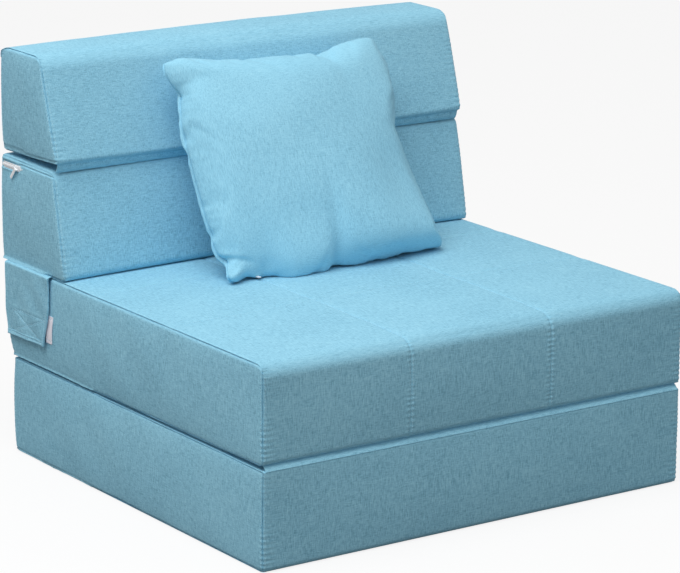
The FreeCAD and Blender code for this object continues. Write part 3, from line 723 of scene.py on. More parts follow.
ROW_START = 0.9  # where a row beside an upright seam starts, as a share of the foot's rounding
ROW_STOP = 0.7  # how far under the top it stops, as a share of the top's rounding
ROW_END = 0.02  # how far from the rear and the sides a quilted row stops
DOUBLE_ROW = 0.0036  # distance of the front's double rows from their channel
FRONT_ROW_LOW = 0.010  # where they start, over the seat's foot
FRONT_ROW_STOP = 0.75  # how far under the top they stop, as a share of the top's rounding


def corner_rows(obj, block):
    """Two rows of stitches along each upright seam of a block, one on either side of it."""
    s, offset = sizes(), trim().stitch_offset
    half = s.slab_width / 2
    (fy0, z0), (fy1, z1), (ry1, _), (ry0, _) = block["corners"]
    rounds = block["rounds"]
    seams = ((fy0, fy1, offset, rounds[0], rounds[1]), (ry0, ry1, -offset, rounds[3], rounds[2]))
    rows = []
    for y0, y1, beside, low, high in seams:
        share = np.linspace(ROW_START * low / (z1 - z0), 1 - ROW_STOP * high / (z1 - z0), 30)
        y, z = y0 + (y1 - y0) * share, z0 + (z1 - z0) * share
        for side in (-half, half):
            rows.append(np.column_stack([0 * y + side - math.copysign(offset, side), y, z]))
            rows.append(np.column_stack([0 * y + side, y + beside, z]))
    return [thread_row(obj, row) for row in rows]


def quilting_rows(obj):
    """Stitches along the seat's channels, and the double rows down its front."""
    s = sizes()
    low = s.base_thick + s.slab_gap
    high = low + s.seat_thick + s.seat_crown / 2
    half, front, rear = s.slab_width / 2, -s.slab_depth / 2, s.slab_depth / 2
    rows = []
    for side in (-1, 1):
        x, y = side * s.quilt_x, side * s.quilt_y
        rows.append([(x, far, high) for far in np.linspace(front + s.wrap_round, rear - ROW_END, 40)])
        rows.append([(far, y, high) for far in np.linspace(ROW_END - half, half - ROW_END, 40)])
        stop = low + s.seat_thick - FRONT_ROW_STOP * s.wrap_round
        for beside in (-DOUBLE_ROW, DOUBLE_ROW):
            rows.append([(x + beside, front, z) for z in np.linspace(low + FRONT_ROW_LOW, stop, 30)])
    return [thread_row(obj, row) for row in rows]


# Zips


def zip_run(block):
    """The line of a block's zip: from the left side round the rear to the right side."""
    s, t = sizes(), trim()
    rear = block["corners"][3][0]
    start = rear - block["reach"]
    left, right = (s.slab_width / 2 - (t.zip_recess if side == block["open"] else t.zip_hidden)
                   for side in (-1, 1))
    y, radius = rear - t.zip_hidden, s.seam_round - t.zip_recess
    turn = np.linspace(0, math.pi / 2, 9)[1:-1]
    places = [(-left, far) for far in np.linspace(start, y - radius, 30)]
    places += [(radius - left - radius * math.cos(a), y - radius + radius * math.sin(a)) for a in turn]
    places += [(far, y) for far in np.linspace(radius - left, right - radius, 80)]
    places += [(right - radius + radius * math.sin(a), y - radius + radius * math.cos(a)) for a in turn]
    places += [(right, far) for far in np.linspace(y - radius, start, 30)]
    places = np.array(places)
    ahead = np.gradient(places, axis=0)
    outward = np.column_stack([-ahead[:, 1], ahead[:, 0], 0 * ahead[:, 0]])
    return run_along(np.column_stack([places, 0 * places[:, 0] + zip_height(block)]), outward)


TAPE_LAYERS = (-0.0011, -0.0005, 0)  # from the back of a zip's tape to its face
TOOTH_LONG = 0.62  # length of a tooth, as a share of the pitch
TOOTH_WIDE = 0.0024
TOOTH_TALL = 0.0009
TOOTH_BESIDE = 0.0008  # how far a row of teeth lies beside the zip's middle
TOOTH_OUT = 0.0004  # how far a tooth's middle lies over the tape
TOOTH_EDGE = 0.0003  # width of a tooth's bevels


def zip_tape(name, run, body, wide):
    """The ribbed tape of a zip with its rows of teeth."""
    length = run["far"][-1]
    across = even(-wide / 2, wide / 2, 0.0009)
    tape, _ = gridded_box(name + "_tape", even(0, length, 0.003), across, TAPE_LAYERS)
    laid_along(tape, run)
    placed(tape, body, once(tape_weave, "woven_tape"), name)
    pitch = trim().tooth_pitch
    rows = []
    for side in (-1, 1):
        tooth = cube("tooth")
        place = (pitch / 2 * (1 if side > 0 else 2), side * TOOTH_BESIDE, TOOTH_OUT)
        move_to(tooth, points(tooth) * (TOOTH_LONG * pitch, TOOTH_WIDE, TOOTH_TALL) + place)
        bevel = tooth.modifiers.new("Edges", "BEVEL")
        bevel.width = TOOTH_EDGE
        bevel.segments = 2
        rows.append(laid_along(row_of(apply_all(tooth), length - pitch, pitch), run))
    return placed(joined(name + "_teeth", rows), body, once(moulded, "white_plastic"))


# Pillow


# Outward offsets of the pillow's edges, in metres, at shares of their length from the left or the foot
LEFT_EDGE = ((0, 0), (0.03, 0.003), (0.085, -0.009), (0.13, 0.000), (0.25, 0.000), (0.45, 0.001),
             (0.70, -0.002), (0.80, -0.010), (0.855, -0.016), (0.89, -0.006), (0.95, 0.000), (1, 0))
RIGHT_EDGE = ((0, -0.003), (0.04, -0.004), (0.10, -0.010), (0.18, -0.015), (0.33, -0.020), (0.48, -0.021),
              (0.555, -0.024), (0.64, -0.014), (0.71, -0.006), (0.78, -0.0065), (0.87, 0.001), (1, 0))
TOP_EDGE = ((0, 0), (0.06, 0.001), (0.16, -0.003), (0.35, -0.011), (0.52, -0.013), (0.64, -0.015),
            (0.69, -0.020), (0.74, -0.014), (0.86, -0.004), (0.95, 0.001), (1, 0))
FOOT_EDGE = ((0, 0), (0.04, 0.003), (0.09, -0.004), (0.14, -0.001), (0.22, 0.002), (0.44, 0),
             (0.50, -0.005), (0.56, -0.001), (0.8, 0), (1, 0))
CORNER_ROUND = 0.016  # how far from its tip a pillow corner starts to round off


def edge_offset(share, table, length):
    """How far outward a pillow edge lies, with its tips rounded off."""
    where = np.linspace(0, 1, 241)
    rough = np.interp(where, *np.array(table).T)
    kernel = np.hanning(9)
    rough = np.convolve(np.pad(rough, 4, mode="edge"), kernel / kernel.sum(), mode="valid")
    near = np.minimum(share, 1 - share) * length
    tip = np.clip(1 - near / CORNER_ROUND, 0, 1) ** 2
    return np.interp(share, where, rough) - tip * CORNER_ROUND / 4


def seat_surface(x, y):
    """Height of the seat's crowned top."""
    s = sizes()
    u, v = x / s.slab_width + 0.5, y / s.slab_depth + 0.5
    arch = np.clip(u * (1 - u), 0, 1) * np.clip(v * (1 - v), 0, 1)
    return s.base_thick + s.slab_gap + s.seat_thick + 16 * s.seat_crown * arch


def back_front(z):
    """How far back the fronts of the two back blocks lie at a height."""
    table = block_table()
    corners = table["lower_back"]["corners"][:2] + table["upper_back"]["corners"][:2]
    return np.interp(z, [c[1] for c in corners], [c[0] for c in corners])


def pillow_settings():
    """The settings of the pillow."""
    return bpy.context.scene.chair_bed_pillow


def pillow_outline(u, v):
    """Where a point of the pillow's sewn edge lies in the pillow's own plane."""
    p = pillow_settings()
    wide = p.base_wide + (p.top_wide - p.base_wide) * v
    x = p.top_shift * v + wide * (u - 0.5)
    y = p.tall * v
    x = x - (u == 0) * edge_offset(v, LEFT_EDGE, p.tall) + (u == 1) * edge_offset(v, RIGHT_EDGE, p.tall)
    y = y - (v == 0) * edge_offset(u, FOOT_EDGE, wide) + (v == 1) * edge_offset(u, TOP_EDGE, wide)
    return np.stack([x, y], axis=-1)


FILLING_FRAMES = 20  # length of the simulation that fills the pillow


def filled(obj):
    """Blow the flat pillow up as cloth, so that its edges draw in and gather."""
    cloth = obj.modifiers.new("Cloth", "CLOTH")
    cloth.settings.quality = 5
    cloth.settings.mass = 0.3
    cloth.settings.tension_stiffness = 15
    cloth.settings.compression_stiffness = 15
    cloth.settings.shear_stiffness = 5
    cloth.settings.bending_stiffness = 0.5
    cloth.settings.air_damping = 3
    cloth.settings.use_pressure = True
    cloth.settings.uniform_pressure_force = 4
    cloth.settings.effector_weights.gravity = 0
    cloth.collision_settings.use_collision = False
    for number in range(FILLING_FRAMES):
        bpy.context.scene.frame_set(number + 1)
    return apply_all(obj)


PILLOW_SPARE = (0.02, 0.022)  # how much larger the flat cloth is cut, across and up
PILLOW_STEPS = (0.0034, 0.0054, 1.25)  # steps of its mesh: by its edges, between them, and their growth
SWELL_POWER = 2.4  # how full the pillow is towards its edges before it is filled
SWELL_SHARE = 0.34  # how far each side swells before it is filled, as a share of the thickness
REAR_FLAT = (0.5, 0.35, 0.3)  # how much flatter the rear is at the left, up to where, and over how far


def pillow_cloth():
    """The pillow's cover, cut flat, sewn, filled, fitted to its outline and set down, with its filling."""
    p = pillow_settings()
    cut_wide, cut_tall = p.base_wide + PILLOW_SPARE[0], p.tall + PILLOW_SPARE[1]
    xs, ys = (graded_shares([0, far], *PILLOW_STEPS) for far in (cut_wide, cut_tall))
    obj, grid = gridded_box("pillow_cover_cloth", xs, ys, [-1, 0, 1])
    u, v, side = grid.T
    swell = (1 - np.abs(2 * u - 1) ** SWELL_POWER) * (1 - np.abs(2 * v - 1) ** SWELL_POWER)
    move_to(obj, np.column_stack([(u - 0.5) * cut_wide, (v - 0.5) * cut_tall,
                                  side * (p.rim / 2 + SWELL_SHARE * p.thick * swell)]))
    filled(obj)
    co = points(obj)
    fitted = co[:, :2] + fitting(grid, co)
    out = co[:, 2] * p.thick / np.ptp(co[:, 2])
    flatter, until, over = REAR_FLAT
    out = np.where(out < 0, out * (1 - flatter * smoothed((until - u) / over)), out)
    move_to(obj, np.column_stack([fitted, out]))
    for name, values in (("share_across", u), ("share_up", v)):
        obj.data.attributes.new(name, "FLOAT", "POINT").data.foreach_set("value", values)
    finer = obj.modifiers.new("Finer", "SUBSURF")
    finer.levels = finer.render_levels = 1
    apply_all(obj)
    pressed(obj)
    filling = stuffing(obj)
    # The pillow's cloth is the blocks' cloth painted 7 percent lighter, which is painted light, with a
    # weaker heather.
    cloth = once(heather, "pillow_heather", p.lean, 0.7, 1.07)
    placed(obj, "pillow", cloth, "pillow_cover")
    fibre = once(cells, "filling_fibre", finish().filling, 260.0)
    return placed(filling, "pillow", fibre, "pillow_filling")


FILLING_SIZE = 0.94  # size of the filling, as a share of the cover's


def stuffing(cloth):
    """The fibre inside the pillow: the cover's form, a little smaller about its middle."""
    only(cloth)
    bpy.ops.object.duplicate()
    filling = bpy.context.object
    filling.name = filling.data.name = "pillow_filling_fibre"
    co = points(filling)
    middle = (co.min(axis=0) + co.max(axis=0)) / 2
    move_to(filling, middle + (co - middle) * FILLING_SIZE)
    softer = filling.modifiers.new("Softer", "SMOOTH")
    softer.factor = 0.5
    softer.iterations = 60
    fewer = filling.modifiers.new("Fewer", "DECIMATE")
    fewer.ratio = 0.2
    return apply_all(filling)


def fitting(grid, co):
    """How far each point moves across and up, so that the sewn edge takes its outline."""
    u, v, side = grid.T
    seam = side == 0
    kernel = np.hanning(13)
    kernel /= kernel.sum()

    def moves(where, along):
        rows = np.flatnonzero(seam & where)
        rows = rows[np.argsort(along[rows])]
        padded = [np.pad(co[rows, i], 6, mode="reflect", reflect_type="odd") for i in range(2)]
        now = np.column_stack([np.convolve(line, kernel, mode="valid") for line in padded])
        return pillow_outline(u[rows], v[rows]) - now

    left, right = moves(u == 0, v), moves(u == 1, v)
    foot, top = moves(v == 0, u), moves(v == 1, u)
    at_u, at_v = (np.searchsorted(np.unique(shares), shares) for shares in (u, v))
    a, b = u[:, None], v[:, None]
    low, high = (1 - a) * left[0] + a * right[0], (1 - a) * left[-1] + a * right[-1]
    sides = (1 - a) * left[at_v] + a * right[at_v]
    return sides + (1 - b) * (foot[at_u] - low) + b * (top[at_u] - high)


# Ridges, grooves and creases of the pillow, with places from the middle of its foot
PILLOW_SEAM = (-0.0008, 0.0022, 0.0058)  # the pressed-in line beside the sewn edge
PILLOW_GATHER = (0.0012, 0.009, 0.015)  # gathers beside that line
GATHER_PITCH = 0.017
PILLOW_UNEVEN = (0.0010, 0.10)  # height and wave length of the unevenness
PILLOW_DENT = (-0.0080, 0.060, 0)  # the hollow over the belly
DENT_PLACE = (0.125, 0.095)
EAR_PLACE = (-0.200, 0.006)  # the lower left corner, which is folded forward and up
EAR_WIDTH = 0.024
EAR_MOVE = (-0.004, -0.004, 0.022)
CREASES = (  # start, end, depth and width
    ((-0.206, 0.033), (-0.163, 0.018), 0.0045, 0.0040),
    ((-0.196, 0.010), (-0.176, 0.022), 0.0030, 0.0030),
    ((0.060, 0.335), (0.040, 0.306), 0.0035, 0.0045),
    ((-0.216, 0.286), (-0.188, 0.282), 0.0025, 0.0040),
)
BELLY = (1.6, 0.055, 0.062)  # sag of the right half: share of the overhang, width and height over the foot
BELLY_START = -0.09  # where the belly starts, from the middle
BELLY_RISE = 0.20  # over how far it grows
ROLL_TALL = 0.085  # height of the roll along the left half's foot
CLEFT = (0.5, 0.014, -0.018)  # the cleft between roll and belly: share, width and place
PILLOW_CLEAR = 0.0006  # gap between the pillow and what it rests on
FOOT_HEIGHT = 0.49  # height at which the pillow's stand-off from the back is measured
SAG_FALL = 0.70  # how far the sag falls for each metre that it comes forward


def pressed(obj):
    """Put seams and creases into the pillow, then lean it on the back and sag it onto the seat."""
    p = pillow_settings()
    co = points(obj)
    co += normals(obj) * pillow_relief(obj, co)[:, None]
    ear = bump(np.hypot(co[:, 0] - EAR_PLACE[0], co[:, 1] - EAR_PLACE[1]), EAR_WIDTH)
    co += ear[:, None] * EAR_MOVE
    across, up, out = co.T
    foot = Vector((p.foot_x, back_front(FOOT_HEIGHT) - p.stand_off, 0))
    foot.z = float(seat_surface(foot.x, foot.y)) + 3 * sizes().clearance
    x = foot.x + across
    y = foot.y + up * math.sin(p.lean) - out * math.cos(p.lean)
    z = foot.z + up * math.cos(p.lean) + out * math.sin(p.lean)
    sag = p.overhang * sag_share(across, up, out)
    y -= sag
    z -= SAG_FALL * sag
    z = np.maximum(z, seat_surface(x, y) + PILLOW_CLEAR)
    y = np.minimum(y, back_front(z) - sizes().face_crown / 2 - PILLOW_CLEAR)
    move_to(obj, np.column_stack([x, y, z]))


def pillow_relief(obj, co):
    """The pillow's sewn edge, the gathers beside it, its unevenness, its hollow and its creases."""
    p = pillow_settings()
    u, v = (read(obj.data.attributes[n].data, 1, "value") for n in ("share_across", "share_up"))
    to_side, to_level = np.minimum(u, 1 - u) * p.base_wide, np.minimum(v, 1 - v) * p.tall
    from_edge = np.minimum(to_side, to_level)
    along = np.where(to_side < to_level, co[:, 1], co[:, 0])
    face = np.abs(normals(obj)[:, 2]) ** 0.5
    shift = ridge(from_edge, PILLOW_SEAM) * face
    shift += ridge(from_edge, PILLOW_GATHER) * puckers(along, 2.0, GATHER_PITCH) * face
    height, wave = PILLOW_UNEVEN
    shift += height * uneven(co, wave, 3.0) * smoothed(from_edge / 0.05)
    from_dent = np.hypot(co[:, 0] - DENT_PLACE[0], co[:, 1] - DENT_PLACE[1])
    shift += ridge(from_dent, PILLOW_DENT) * (co[:, 2] > 0)
    for start, end, depth, wide in CREASES:
        shift -= depth * crease(co, start, end, wide)
    return shift


def sag_share(across, up, out):
    """How far the pillow's front sags, as a share of the overhang: a roll on the left, a belly on the
    right."""
    belly = smoothed((across - BELLY_START) / BELLY_RISE)
    sag = (1 - belly) * (1 - smoothed(up / ROLL_TALL)) + belly * ridge(up, BELLY)
    return sag * smoothed(out / 0.020) * smoothed((across + 0.142) / 0.05) * (1 - ridge(across, CLEFT))


def crease(co, start, end, wide):
    """1 along a line on the pillow's front, falling off to either side."""
    start, end = np.array(start), np.array(end)
    span = end - start
    share = np.clip((co[:, :2] - start) @ span / (span @ span), 0, 1)
    nearest = start + share[:, None] * span
    away = np.linalg.norm(co[:, :2] - nearest, axis=1)
    return bump(away, wide) * (co[:, 2] > 0) * (1 - 0.7 * share)


PILLOW_ZIP_WIDE = 0.0022  # width of the tape that shows
PILLOW_ZIP_OUT = 0.0022  # how far it lies out from the middle of the zip's box


def pillow_zip():
    """The zip in the pillow's foot seam, facing down and forward."""
    low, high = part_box("pillow_zip")
    middle, lean = (low + high) / 2, pillow_settings().lean
    outward = Vector((0, -math.sin(lean), -math.cos(lean)))
    start = Vector((low.x, middle.y, middle.z)) + outward * PILLOW_ZIP_OUT
    end = Vector((high.x, middle.y, middle.z)) + outward * PILLOW_ZIP_OUT
    run = run_along([start.lerp(end, i / 60) for i in range(61)], [outward] * 61)
    return zip_tape("pillow_zip", run, "pillow", PILLOW_ZIP_WIDE)


# Straps, label and patches


STRAP_LINE = (-0.0006, 0.0016, 0)  # under a stitched line
STRAP_ROLL = (0.0005, 0.003, 0.003)  # puckers beside it
STRAP_EDGE = (0.0006, 0.0014, 0.0018)  # the turned edges
STRAP_PUCKER = 0.007  # distance from one pucker to the next
STRAP_UNEVEN = (0.0007, 0.05)  # height and wave length of the strap's unevenness
HEM_LIFT = 0.0006  # how far the hem stands out
SEAM_TURN = 0.0035  # height of the seam allowance over the strap's bend
SLANT_SHARE = 0.6  # share of the drop over which the strap's front edge slants
# Each of these is a length, and the height over the strap's foot at which it has ended
FOOT_RISE = (0.0035, 0.05)  # how much higher the foot lies at the front edge
REAR_TAPER = (0.007, 0.045)  # how far the rear edge draws in
FOOT_LIFT = (0.0005, 0.003)  # how far the turned foot stands out
FRONT_LIFT = (0.0012, 0.09)  # how far the front edge stands out
FRONT_LIFT_WIDE = 0.12  # width of that lift, as a share of the strap's
STRAP_ROW_OFF = 0.003  # how far outside the strap its rows are drawn before they are laid on it


def strap(word, side):
    """A side strap: two layers with a turned hem, hanging from the lower back's foot seam."""
    t = trim()
    low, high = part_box(word + "_strap")
    reach = max(abs(low.x), abs(high.x)) - t.strap_thick / 2
    pivot = min(abs(low.x), abs(high.x)) + t.strap_thick / 2
    top = high.z - SEAM_TURN - t.strap_thick / 2
    knee = top - 0.5 * (reach - pivot)
    drop = knee - t.strap_low
    length = drop + 1.5 * (reach - pivot)
    across = graded_shares([0, t.strap_wide], 0.0007, 0.0018)
    heights = graded_shares([0, t.hem, length], 0.0007, 0.0016)
    obj, grid = gridded_box(word + "_strap_cloth", even(0, 1, 0.5), across, heights)
    c, a, b = grid.T
    up = b * length
    front = t.strap_rear - t.strap_wide + by_foot(up, t.strap_slant, SLANT_SHARE * drop)
    rear = t.strap_rear - by_foot(up, *REAR_TAPER)
    y = front + (rear - front) * a
    bend = np.clip(up - drop, 0, None) / (length - drop) * math.pi / 2
    z = t.strap_low + np.minimum(up, drop) + (top - knee) * np.sin(bend)
    z += by_foot(up, *FOOT_RISE) * (1 - a)
    x = -reach + (reach - pivot) * (1 - np.cos(bend)) - t.strap_thick * (0.5 - c)
    lines = strap_lines(t, top)
    height, wave = STRAP_UNEVEN
    lift = strap_relief(t, lines, a, up, y, z)
    lift += height * uneven(np.column_stack([x, y, z]), wave, 1.0 + side)
    x -= np.where(c < 0.5, lift, 0.3 * lift)
    x -= by_foot(up, *FOOT_LIFT) + by_foot(up, *FRONT_LIFT) * bump(a, FRONT_LIFT_WIDE)
    move_to(obj, np.column_stack([x * -side, y, z]))
    if side > 0:
        only(obj).data.flip_normals()
    placed(obj, word + "_strap", once(heather, "heathered_cloth"), word + "_strap")
    outside = side * (reach + STRAP_ROW_OFF)
    rows = [thread_row(obj, [(outside, y, z) for y, z in line]) for line in lines]
    return sewn(word + "_strap_stitches", rows, word + "_strap")


def by_foot(up, length, ended):
    """A length at the strap's foot, which falls to 0 at a height over it."""
    return length * (1 - smoothed(up / ended))


def strap_relief(t, lines, a, up, y, z):
    """How far the strap's cloth stands out by its stitched lines, its hem and its turned edges."""
    near = np.min([line_distance(y, z, line) for line in lines], axis=0)
    edge = np.minimum(np.minimum(a, 1 - a) * t.strap_wide, up)
    lift = ridge(near, STRAP_LINE) + puckers(y + z, 1.0, STRAP_PUCKER) * ridge(near, STRAP_ROLL)
    return lift + HEM_LIFT * (up < t.hem) * smoothed(up / 0.001) + ridge(edge, STRAP_EDGE)


BOX_LOW, BOX_HIGH = 0.006, 0.042  # height of a strap's stitched box over its foot
BOX_TILT = 0.002  # how much higher its upper line starts at the front
BOX_FRONT = 0.006  # its distance from the strap's front edge
BOX_REAR, BOX_REAR_HIGH = 0.014, 0.025  # its distance from the rear edge, low and high
BOX_SLANT = 0.70  # share of the strap's slant that lies beside the box
EDGE_ROWS = (0.0045, 0.0095)  # distances of the two rows over the box from the front edge
EDGE_ROW_STOP = 0.012  # how far under the bend they stop


def strap_lines(t, top):
    """Stitched lines of a strap, as points across and up: its front edge twice, a box and its cross."""
    low, high = t.strap_low + BOX_LOW, t.strap_low + BOX_HIGH
    foot = t.strap_rear - t.strap_wide + t.strap_slant
    front = foot - BOX_SLANT * t.strap_slant
    front_top = front - (1 - BOX_SLANT) * t.strap_slant
    rear, rear_high = t.strap_rear - BOX_REAR, t.strap_rear - BOX_REAR_HIGH
    lines = [[(front + inset, high), (front_top + inset, top - EDGE_ROW_STOP)] for inset in EDGE_ROWS]
    front, foot = front + BOX_FRONT, foot + BOX_FRONT
    lines.append([(foot, low), (rear, low), (rear_high, high), (front, high + BOX_TILT), (foot, low)])
    return lines + [[(foot, low), (rear_high, high)], [(front, high + BOX_TILT), (rear, low)]]


def line_distance(y, z, line):
    """Distance of points from a line of points."""
    best = np.full(len(y), np.inf)
    for (y0, z0), (y1, z1) in zip(line, line[1:]):
        dy, dz = y1 - y0, z1 - z0
        share = np.clip(((y - y0) * dy + (z - z0) * dz) / (dy ** 2 + dz ** 2), 0, 1)
        best = np.minimum(best, np.hypot(y - y0 - share * dy, z - z0 - share * dz))
    return best


LABEL_THICK = 0.0008
LABEL_SEAM = 0.0045  # distance of the label's stitched lines from its ends
LABEL_RIDGE = (0.0003, 0.0007, 0)  # along each stitched line
LABEL_BELLY = 0.0006  # how far the label stands out amid its height
LABEL_UNEVEN = (0.0003, 0.02)  # height and wave length of its unevenness
LABEL_LEAN = 0.005  # how far its front edge leans forward at the top
LABEL_ROW_END = 0.001  # how far from its edges a stitched line stops
LABEL_ROW_OFF = 0.001  # how far outside it that line is drawn before it is laid on it


def label():
    """The bare label on the seat's side: a soft satin tag with a stitched line at each end."""
    low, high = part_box("blank_label")
    layers = [low.x, low.x + LABEL_THICK / 2, low.x + LABEL_THICK]
    obj, grid = gridded_box("blank_label_cloth", layers, even(low.y, high.y, 0.0007),
                            even(low.z, high.z, 0.0007))
    x, y, z = grid.T
    up = np.clip((z - low.z) / (high.z - low.z), 0, 1)
    height, wave = LABEL_UNEVEN
    x = x - LABEL_BELLY * np.sin(up * math.pi) - height * uneven(grid, wave, 2.0)
    x += ridge(np.minimum(z - low.z, high.z - z) - LABEL_SEAM, LABEL_RIDGE)
    y = y - LABEL_LEAN * up * (high.y - y) / (high.y - low.y)
    move_to(obj, np.column_stack([x, y, z]))
    placed(obj, "seat", once(satin, "label_satin"), "blank_label")
    ends = (low.y + LABEL_ROW_END, high.y - LABEL_ROW_END)
    rows = [thread_row(obj, [(low.x - LABEL_ROW_OFF, end, line) for end in ends])
            for line in (low.z + LABEL_SEAM, high.z - LABEL_SEAM)]
    return placed(joined("label_stitches", rows), "seat", once(spun, "sewing_thread"))


PATCH_THICK = 0.0012
PATCH_RIM = 0.002  # width of a patch's bare rim


def patch(node_name, body, rough):
    """A hook or loop patch: a woven strip covered in fine pile, sewn round its edge."""
    low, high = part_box(node_name)
    inner, outer = (low.x, high.x) if low.x > 0 else (high.x, low.x)
    faced = outer if "loop" in node_name else inner
    away = math.copysign(PATCH_THICK, low.x) * (-1 if "loop" in node_name else 1)
    obj, grid = gridded_box(node_name + "_pile", sorted([faced, faced + away / 2, faced + away]),
                            even(low.y, high.y, 0.0009), even(low.z, high.z, 0.0009))
    pile = rough * (uneven(grid, 0.0027, 1.0) * uneven(grid, 0.0041, 2.0))
    edge = np.minimum(np.minimum(grid[:, 1] - low.y, high.y - grid[:, 1]),
                      np.minimum(grid[:, 2] - low.z, high.z - grid[:, 2]))
    grid[:, 0] -= np.sign(away) * (np.abs(grid[:, 0] - faced) < 1e-6) * pile * (edge > PATCH_RIM)
    move_to(obj, grid)
    placed(obj, body, once(pile_finish, "pile"), node_name)
    return obj


# Cloth folds between blocks


FOLD_STEPS = (0.0004, 0.0008)  # steps of a fold's side view, before and after its corners are rounded
FOLD_ROUNDING = 3  # how many of the first steps either side a corner is rounded over
FOLD_UNEVEN = (0.0004, 0.06)  # height and wave length of a fold's unevenness


def fold(name, line):
    """The cloth that joins two blocks: a strip whose side view is a line of points."""
    t = trim()
    side = resampled([(0, y, z) for y, z in line], FOLD_STEPS[0])
    kernel = np.ones(2 * FOLD_ROUNDING + 1) / (2 * FOLD_ROUNDING + 1)
    padded = [np.pad(side[:, i], FOLD_ROUNDING, mode="edge") for i in range(3)]
    side = np.column_stack([np.convolve(row, kernel, mode="valid") for row in padded])
    side = resampled(side, FOLD_STEPS[1])
    run = run_along(side, np.cross(np.gradient(side, axis=0), (1, 0, 0)))
    length = run["far"][-1]
    layers = even(-t.strip_thick / 2, t.strip_thick / 2, t.strip_thick / 2)
    obj, grid = gridded_box(name + "_cloth", even(0, length, 0.0010),
                            even(-t.strip_half, t.strip_half, 0.006), layers)
    height, wave = FOLD_UNEVEN
    grid[:, 2] += height * uneven(grid * (1, 1, 0), wave, 1.0) * np.sin(grid[:, 0] / length * math.pi)
    move_to(obj, grid)
    laid_along(obj, run)
    # The fold's cloth is the blocks' cloth painted 12 percent lighter: painted light against the shade
    # between the blocks.
    placed(obj, None, once(heather, "fold_heather", 0.0, 1.0, 1.12), name)
    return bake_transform(obj)


def fold_lines():
    """For each fold: its side view, the two blocks it joins, and where the turn starts and ends."""
    table = block_table()
    base, seat = table["base"]["corners"], table["seat"]["corners"]
    low, head = table["lower_back"]["corners"], table["upper_back"]["corners"]
    front, base_top, seat_foot = base[1][0], base[1][1], seat[0][1]
    gap = seat_foot - base_top
    rear, seat_top = seat[2][0], seat[1][1]
    chest, low_top, head_foot = low[1][0], low[1][1], head[0][1]
    back_gap = head_foot - low_top
    return {
        "seat_fold_strip": (
            [(front - 0.0002, base_top - 0.0012), (front + 0.0014, base_top + 0.25 * gap),
             (front + 0.0040, base_top + 0.62 * gap), (front + 0.0088, base_top + 1.05 * gap)],
            ("base", "seat"), (0, front, base_top), (0, front, seat_foot)),
        "back_fold_strip": (
            [(rear - 0.016, low[0][1] - 0.0010), (rear + 0.020, low[0][1] - 0.0010)],
            ("seat", "lower_back"), (0, rear - 0.010, seat_top), (0, rear + 0.014, seat_top)),
        "head_fold_strip": (
            [(chest + 0.0010, low_top - 0.0008), (chest - 0.0022, low_top + 0.15 * back_gap),
             (chest - 0.0044, low_top + 0.45 * back_gap), (chest - 0.0054, low_top + 0.75 * back_gap),
             (chest - 0.0060, head_foot - 0.0020)],
            ("lower_back", "upper_back"), (0, chest, low_top), (0, chest, head_foot)),
    }


# Materials


def fresh_material(name):
    """A new node material. Returns it, its tree and its shader."""
    material = bpy.data.materials.new(name)
    material.use_nodes = True
    tree = material.node_tree
    return material, tree, tree.nodes["Principled BSDF"]


def once(maker, name, *values):
    """A material by its name, made at its first use."""
    return bpy.data.materials.get(name) or maker(name, *values)


def sum_of(tree, operation, *terms, clamp=False):
    """A Math node on two or three sockets or numbers."""
    made = tree.nodes.new("ShaderNodeMath")
    made.operation = operation
    made.use_clamp = clamp
    for socket, value in zip(made.inputs, terms):
        if isinstance(value, (int, float)):
            socket.default_value = value
        else:
            tree.links.new(value, socket)
    return made.outputs[0]


def own_place(tree):
    """The coordinates of the piece that is painted."""
    return tree.nodes.new("ShaderNodeTexCoord").outputs["Object"]


def grain(tree, place, scale, seed, detail=1.5):
    """Noise on a set of coordinates, stretched by a scale for each axis."""
    mapping = tree.nodes.new("ShaderNodeMapping")
    mapping.inputs["Scale"].default_value = scale
    mapping.inputs["Location"].default_value = (seed, seed * 0.7, seed * 1.3)
    tree.links.new(place, mapping.inputs["Vector"])
    noise = tree.nodes.new("ShaderNodeTexNoise")
    noise.inputs["Scale"].default_value = 1.0
    noise.inputs["Detail"].default_value = detail
    noise.inputs["Roughness"].default_value = 0.6
    tree.links.new(mapping.outputs["Vector"], noise.inputs["Vector"])
    return noise.outputs["Fac"]


def ramp(tree, factor, shader, colour, stops):
    """Colour a shader by a factor: each stop is a place and a gain on the colour."""
    made = tree.nodes.new("ShaderNodeValToRGB")
    while len(made.color_ramp.elements) < len(stops):
        made.color_ramp.elements.new(0.5)
    for element, (where, gains) in zip(made.color_ramp.elements, stops):
        element.position = where
        element.color = [min(1.0, c * g) for c, g in zip(colour, gains)] + [1.0]
    tree.links.new(factor, made.inputs["Fac"])
    tree.links.new(made.outputs["Color"], shader.inputs["Base Color"])


def relief(tree, height, shader, strength, distance):
    """Bump a shader by a height."""
    made = tree.nodes.new("ShaderNodeBump")
    made.inputs["Strength"].default_value = strength
    made.inputs["Distance"].default_value = distance
    tree.links.new(height, made.inputs["Height"])
    tree.links.new(made.outputs["Normal"], shader.inputs["Normal"])


YARN_WEIGHTS = (0.85, 0.85, 1.25)  # how strongly the yarns along each axis show
FINE_GRAIN = 0.0007  # size of the finest unevenness in the cloth
CLOUDS = 9.0  # how many pale and dark clouds the cloth has in a metre
YARN_SHADE, FINE_SHADE, CLOUD_SHADE = 1.05, 0.40, 0.20  # how strongly each of the three shades it
HEATHER_STOPS = ((0.18, (0.62, 0.70, 0.74)), (0.5, (1, 1, 1)), (0.82, (1.30, 1.18, 1.12)))


